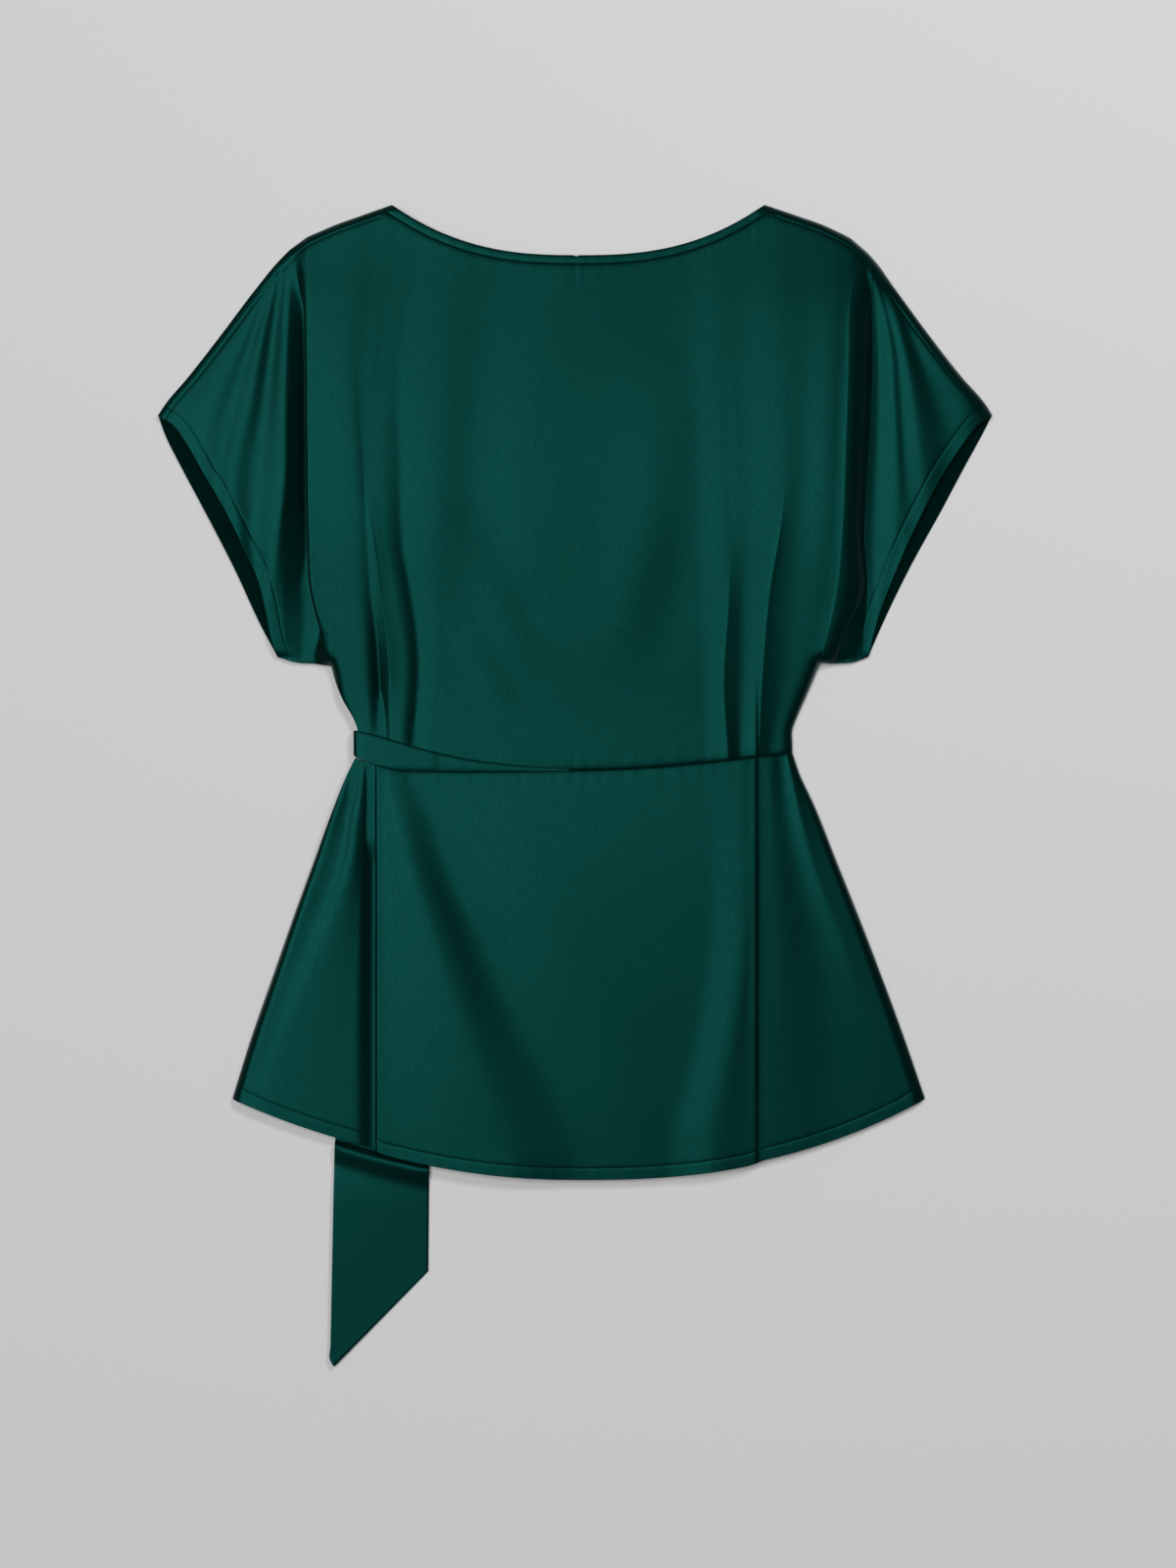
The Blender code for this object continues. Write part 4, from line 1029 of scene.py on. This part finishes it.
# offsets from the crown of the centre panel
centreLines = (
    ("round", ((8, -143, -0.4), (-60, -143, -0.7), (-285, -143, -0.8))),
    ("round", ((8, -134, 0.5), (-23, -127, 1.3), (-55, -119, 1.9), (-110, -102, 2.3), (-167, -84, 2.4),
               (-195, -74, 2.3), (-260, -50, 1.8))),
    ("round", ((8, -116, -0.2), (-23, -101, -0.4), (-55, -91, -0.7), (-110, -66, -1), (-167, -40, -1),
               (-202, -20, -0.9), (-260, 6, -0.8))),
    ("round", ((8, -40, 0), (-86, -20, 0), (-200, 30, -0.6), (-260, 42, -0.7))),
    ("round", ((8, 90, 0), (-86, 94, -0.5), (-181, 82, -0.8), (-244, 66, -0.9))),
    ("round", ((8, 118, 0.2), (-86, 121, 0.5), (-181, 111, 0.9), (-244, 99, 1))),
    ("round", ((8, 124, 0.1), (-86, 125, 0.3), (-181, 124, 0.4), (-285, 124, 0.3))),
    ("sharp", ((8, 129, 0.3), (-86, 129, 0.7), (-181, 129, 0.8), (-285, 129, 0.6))),
)
# heights of the side panels, each from its seam to below the fold
leftPanelLines = (
    ("round", ((22, -156, 4.6), (-23, -176, 6.4), (-55, -187, 6.8), (-139, -217, 6.8), (-223, -245, 6))),
    ("round", ((22, -154.5, 4.4), (-23, -163.5, 5.4), (-54, -169, 6), (-93, -184, 6.3), (-142, -204, 6.5),
               (-223, -236, 6))),
    ("round", ((22, -152, 5), (-7, -154, 6.2), (-23, -157, 6.6), (-52, -161, 7.2), (-93, -174.5, 7.4),
               (-142, -194, 7.2), (-200, -214, 6.7), (-262, -228, 6.3))),
    ("sharp", ((22, -149, 4.8), (-7, -150, 5.4), (-52, -152, 5.8), (-142, -153.5, 5.8), (-262, -154, 5.4))),
    ("sharp", ((22, -143, 2), (-52, -143, 1.8), (-262, -143, 1.8))),
)
rightPanelLines = (
    ("sharp", ((22, 128, 5.2), (-52, 127, 6.6), (-262, 127, 6.2))),
    ("round", ((22, 136, 5.1), (-60, 139, 6.4), (-262, 139, 6))),
    ("round", ((22, 146, 4.2), (-30, 152, 5.3), (-73, 163, 5.4), (-102, 172, 5.3), (-141, 180, 5.2),
               (-262, 190, 5.1))),
    ("sharp", ((22, 150.5, 4.6), (-30, 161.5, 6), (-73, 174, 6.1), (-102, 186, 5.9), (-141, 199, 5.5),
               (-200, 215, 5.2), (-262, 228, 5))),
    ("round", ((22, 154, 3.8), (-55, 186, 5.5), (-139, 218, 5.3), (-223, 248, 5.1))),
)


leftPleat["lines"] = leftPanelLines
rightPleat["lines"] = rightPanelLines


def hemY(x):
    off = x - peplum["hemCentreX"]
    left = (np.abs(off) / peplum["hemLeft"][0]) ** peplum["hemLeft"][1]
    right = (np.abs(off) / peplum["hemRight"][0]) ** peplum["hemRight"][1]
    return peplum["hemLow"] + peplum["hemRise"] * np.where(off < 0, left, right)


def peplumHeight(x, y, lines, fromHem=np.inf):
    low = lowestFront(x, y)
    height = linesHeight(x, y, lines)
    if lines is not centreLines:
        fromSeam = np.minimum(x - readTable(peplum["side"], 1, y), readTable(peplum["side"], 2, y) - x)
        height = low + (height - low) * rise(np.maximum(fromSeam, 0.0), peplum["rise"])
    else:
        height = height + readTable(peplum["crown"], 1, y)
    belowWaist = readTable(bodice["waistSeam"], 1, x) - y
    height = height - sunkEdge("waistGroove", belowWaist)
    height = height - stitchedLine("hemGroove", fromHem, bodice["hemLine"])
    height = height + puckers(x, fromHem) + puckers(x, belowWaist)
    return np.maximum(height, low)


def peplumColumn(waistX, hemX, rows, hemRaise):
    waistY = float(readTable(bodice["waistSeam"], 1, waistX)) - bodice["waistGap"]
    hemPlace = float(hemY(hemX)) + hemRaise
    slope = (float(hemY(hemX + nudge)) - float(hemY(hemX))) / nudge
    strip = hemPlace + np.array(bodice["hemDepths"]) * math.sqrt(1.0 + slope**2)
    top = waistY - np.array(peplum["waistDepths"])
    run = np.linspace(top[-1], strip[0], rows + 1)
    fromHem = (np.concatenate([top[:-1], run, strip[1:]]) - hemPlace) / math.sqrt(1.0 + slope**2)
    return np.concatenate([top[:-1], run, strip[1:]]), fromHem


def sidePanelX(y, pleat, share):
    footX = pleat["edgeX"] + pleat["outward"] * turnUnder["reach"]
    return footX + (readTable(peplum["side"], pleat["column"], y) - footX) * share


def sidePanel(pleat, columns):
    panel = []
    for share in np.linspace(0.0, 1.0, columns + 1):
        waistX = sidePanelX(peplum["waistY"], pleat, share)
        hemX = sidePanelX(peplum["side"][-1][0], pleat, share)
        y, fromHem = peplumColumn(waistX, hemX, peplum["rows"], pleat["hemRaise"] * (1.0 - share))
        x = sidePanelX(y, pleat, share)
        panel.append(np.column_stack([x, y, peplumHeight(x, y, pleat["lines"], fromHem)]))
    return panel


def frontPeplumGrid():
    leftPanel = sidePanel(leftPleat, peplum["panelColumns"])
    rightPanel = sidePanel(rightPleat, peplum["panelColumns"])
    centre = []
    reach = turnUnder["reach"]
    for x in np.linspace(leftPleat["edgeX"] + reach, rightPleat["edgeX"] - reach, peplum["centreColumns"]):
        y, fromHem = peplumColumn(x, x, peplum["rows"], 0.0)
        columnX = np.full(y.shape, x)
        centre.append(np.column_stack([columnX, y, peplumHeight(columnX, y, centreLines, fromHem)]))
    strips = []
    for pleat, top, foot in ((leftPleat, centre[0], leftPanel[0]), (rightPleat, centre[-1], rightPanel[0])):
        steady = np.ones(len(top))
        below = lambda x, y, lines=pleat["lines"]: peplumHeight(x, y, lines)
        strips.append(
            turnedStrip(pleat["edgeX"], pleat["outward"], top, foot, steady, pleat["depth"], below)
        )
    return np.stack(leftPanel[::-1] + strips[0][::-1] + centre + strips[1] + rightPanel, axis=1)


def backPeplumX(y, share):
    left = readTable(peplum["side"], 1, y)
    return left + (readTable(peplum["side"], 2, y) - left) * share


def backPeplumGrid():
    columns = []
    for share in np.linspace(0.0, 1.0, peplum["backColumns"] + 1):
        waistX = backPeplumX(peplum["waistY"], share)
        hemX = backPeplumX(peplum["side"][-1][0], share)
        y, fromHem = peplumColumn(waistX, hemX, peplum["backRows"], peplum["backRaise"])
        x = backPeplumX(y, share)
        columns.append(np.column_stack([x, y, backMiddle(x, y)]))
    return np.stack(columns, axis=1)


def hemStitches(lines, startX, endX, raised):
    x = np.arange(startX, endX, stitch["pitch"])
    slope = (hemY(x + nudge) - hemY(x)) / nudge
    start, fade = stitch["raiseFades"]
    raised = raised * (1.0 - ramp(0.0, fade, np.abs(x) - start))
    y = hemY(x) + bodice["hemLine"] * np.sqrt(1.0 + slope**2) + raised
    height = peplumHeight(x, y, lines, np.full(x.shape, bodice["hemLine"]))
    return np.column_stack([x, y, height + stitch["base"]])


frontPeplum = clothPiece("front_peplum.look", frontPeplumGrid())
hemStart, hemEnd = stitch["hemEnds"]
clear = stitch["pleatClear"]
hemThread = stitchPiece(
    "hem_stitches",
    [
        hemStitches(leftPanelLines, hemStart, leftPleat["edgeX"] - clear["left"], leftPleat["hemRaise"]),
        hemStitches(
            centreLines, leftPleat["edgeX"] + clear["centre"], rightPleat["edgeX"] - clear["centre"], 0.0
        ),
        hemStitches(rightPanelLines, rightPleat["edgeX"] + clear["right"], hemEnd, rightPleat["hemRaise"]),
    ],
)
backPeplum = clothPiece("back_peplum.look", backPeplumGrid(), -1.0)
print("peplum: front and back")


# Waist tie: from the waist seam, round the left side, turned down under the back
tie = {
    # upper edge on the front, columns: x, y
    "top": (
        (-158.5, 39.6),
        (-141.0, 35.6),
        (-110.6, 26.7),
        (-80.0, 19.6),
        (-50.0, 15.4),
        (-19.6, 12.9),
        (-2.0, 12.2),
    ),
    "startX": -4.0,
    "endX": -154.0,
    "outerX": -158.9,
    "low": 21.6,
    "high": 39.4,
    "roll": 0.7,
    "bridge": (22.0, 23),  # how far it spans the pleats to each side, and the places that are tried
    "across": (0.0, 0.03, 0.06, 0.1, 0.14, 0.18, 0.22, 0.26, 0.3, 0.34, 0.38, 0.42, 0.46, 0.5, 0.54,
               0.58, 0.62, 0.66, 0.7, 0.74, 0.78, 0.82, 0.86, 0.9, 0.93, 0.95, 0.97, 0.985, 1.0),
    "frontRows": 60,
    "roundRows": 16,
    "underRows": 12,
    "creaseTurns": (0.25, 0.5, 0.75),
    # rows of the tail: from and to as shares of its length, and how many; closer at the hem
    "tailRows": ((0.0, 0.63, 50), (0.64, 0.84, 60), (0.85, 0.96, 16)),
    "tailEnd": (0.97, 0.98, 0.985, 0.99, 0.995, 1.0),
    "edgeDrop": (0.7, 1.5),  # how far the upper edge rolls down, and over what width
    "turnHigh": (-139.0, 40.4),
    "turnLow": (-99.0, 1.0),
    "turnRun": 14.0,
    "swell": 3.2,  # how far the tail wells up where it leaves the hem
    "swellIn": (0.3, 3.0),
    "swellOut": (2.0, 20.0),
    "tilt": 2.4,
    "tiltRun": (240.0, 300.0),
    # edges of the tail, columns: y, x
    "tailLeft": (
        (40.4, -139.0),
        (0.0, -144.0),
        (-60.0, -155.0),
        (-150.0, -167.0),
        (-252.7, -172.2),
        (-330.0, -174.0),
        (-400.0, -175.4),
        (-410.0, -175.6),
        (-414.4, -172.8),
    ),
    "tailRight": ((1.0, -99.0), (-60.0, -100.5), (-275.0, -105.0), (-346.5, -105.7)),
}


def tieOnFront(x, y):
    span, tries = tie["bridge"]
    around = [bodyHeight(x + shift, y) for shift in np.linspace(-span, span, tries)]
    return np.max(around, axis=0) + cloth["layer"]


def tieGrid():
    across = np.array(tie["across"])
    frontX = np.linspace(tie["startX"], tie["endX"], tie["frontRows"])
    low = readTable(bodice["waistSeam"], 1, frontX) + bodice["waistGap"]
    x = np.outer(frontX, np.ones(across.shape))
    y = low[:, None] + np.outer(readTable(tie["top"], 1, frontX) - low, across)
    drop, width = tie["edgeDrop"]
    rolled = drop * np.exp((y - y[:, -1:]) / width)
    rows = list(np.stack([x, y, tieOnFront(x, y) - rolled], axis=-1))
    top = rows[-1]
    sideY = tie["low"] + (tie["high"] - tie["low"]) * across
    reach = top[0, 0] - tie["outerX"] - cloth["wall"] / 2
    under = cloth["backMiddle"]
    for turn in np.linspace(0.0, np.pi, tie["roundRows"] + 1)[1:]:
        middle = (top[:, 2] + under) / 2
        fall = np.sign(np.cos(turn)) * abs(np.cos(turn)) ** tie["roll"]
        x = np.full(across.shape, top[0, 0] - reach * np.sin(turn) ** tie["roll"])
        y = top[:, 1] + (sideY - top[:, 1]) * ramp(0.0, np.pi / 3, turn)
        rows.append(np.column_stack([x, y, middle + (top[:, 2] - under) / 2 * fall]))
    crease = np.array(tie["turnLow"]) + np.outer(across, np.subtract(tie["turnHigh"], tie["turnLow"]))
    start = rows[-1][:, :2]
    for share in np.linspace(0.0, 1.0, tie["underRows"] + 1)[1:]:
        rows.append(np.column_stack([start + (crease - start) * share, np.full(across.shape, under)]))
    turned = cloth["turnLayer"]
    for angle in tie["creaseTurns"]:
        out = math.sin(angle * math.pi) * turned / 3
        lift = (1.0 - math.cos(angle * math.pi)) / 2 * turned
        rows.append(np.column_stack([crease + out, np.full(across.shape, under + lift)]))
    tailLeft = tie["tailLeft"]
    tailRight = tie["tailRight"]
    rowPlaces = [np.linspace(*run) for run in tie["tailRows"]]
    for share in np.concatenate([*rowPlaces, tie["tailEnd"]]):
        leftY = tailLeft[0][0] + (tailLeft[-1][0] - tailLeft[0][0]) * share
        rightY = tailRight[0][0] + (tailRight[-1][0] - tailRight[0][0]) * share
        right = np.array([float(readTable(tailRight, 1, rightY)), rightY])
        left = np.array([float(readTable(tailLeft, 1, leftY)), leftY])
        flat = right + np.outer(across, left - right)
        height = under + turned * ramp(-tie["turnRun"], 0.0, flat[:, 1])
        below = hemY(flat[:, 0]) - flat[:, 1]
        height = height + tie["swell"] * ramp(*tie["swellIn"], below) * (1.0 - ramp(*tie["swellOut"], below))
        height = height + tie["tilt"] * across * ramp(*tie["tiltRun"], -flat[:, 1])
        rows.append(np.column_stack([flat, height]))
    return np.stack(rows)


waistTie = clothPiece("waist_tie.look", tieGrid(), -1.0)
print("tie: one strip")


# Floor and light: plain pale ground, a wide soft lamp overhead and a small one to the upper right
studio = {
    "ground": "#CACACB",
    "groundSize": 6000.0,
    "groundDrop": 0.3,
    "groundRoughness": 0.9,
    # lamp: place, size, watts, and whether it shows in the gloss
    "key": ((1500.0, 1900.0, 2300.0), 900.0, 40.0, False),
    "top": ((-2500.0, 1000.0, 9000.0), 7200.0, 720.0, True),
    "sky": ("#FFFFFF", 0.08),
}

groundPlace = (0.0, 0.0, -studio["groundDrop"] * mm)
bpy.ops.mesh.primitive_plane_add(size=studio["groundSize"] * mm, location=groundPlace)
floor = bpy.context.object
floor.name = "floor"
paper = bpy.data.materials.new("groundPaper")
paper.use_nodes = True
paperShader = paper.node_tree.nodes["Principled BSDF"]
paperShader.inputs["Base Color"].default_value = linear(studio["ground"])
paperShader.inputs["Roughness"].default_value = studio["groundRoughness"]
floor.data.materials.append(paper)

for name in ("key", "top"):
    place, size, watts, glossy = studio[name]
    lampData = bpy.data.lights.new(name, "AREA")
    lampData.shape = "DISK"
    lampData.size = size * mm
    lampData.energy = watts
    lamp = bpy.data.objects.new(name, lampData)
    lamp.location = [v * mm for v in place]
    lamp.rotation_euler = (-Vector(place)).to_track_quat("-Z", "Y").to_euler()
    lamp.visible_glossy = glossy
    bpy.context.scene.collection.objects.link(lamp)

world = bpy.data.worlds.new("studio")
bpy.context.scene.world = world
world.use_nodes = True
world.node_tree.nodes["Background"].inputs["Color"].default_value = linear(studio["sky"][0])
world.node_tree.nodes["Background"].inputs["Strength"].default_value = studio["sky"][1]
print("studio: floor and lights")
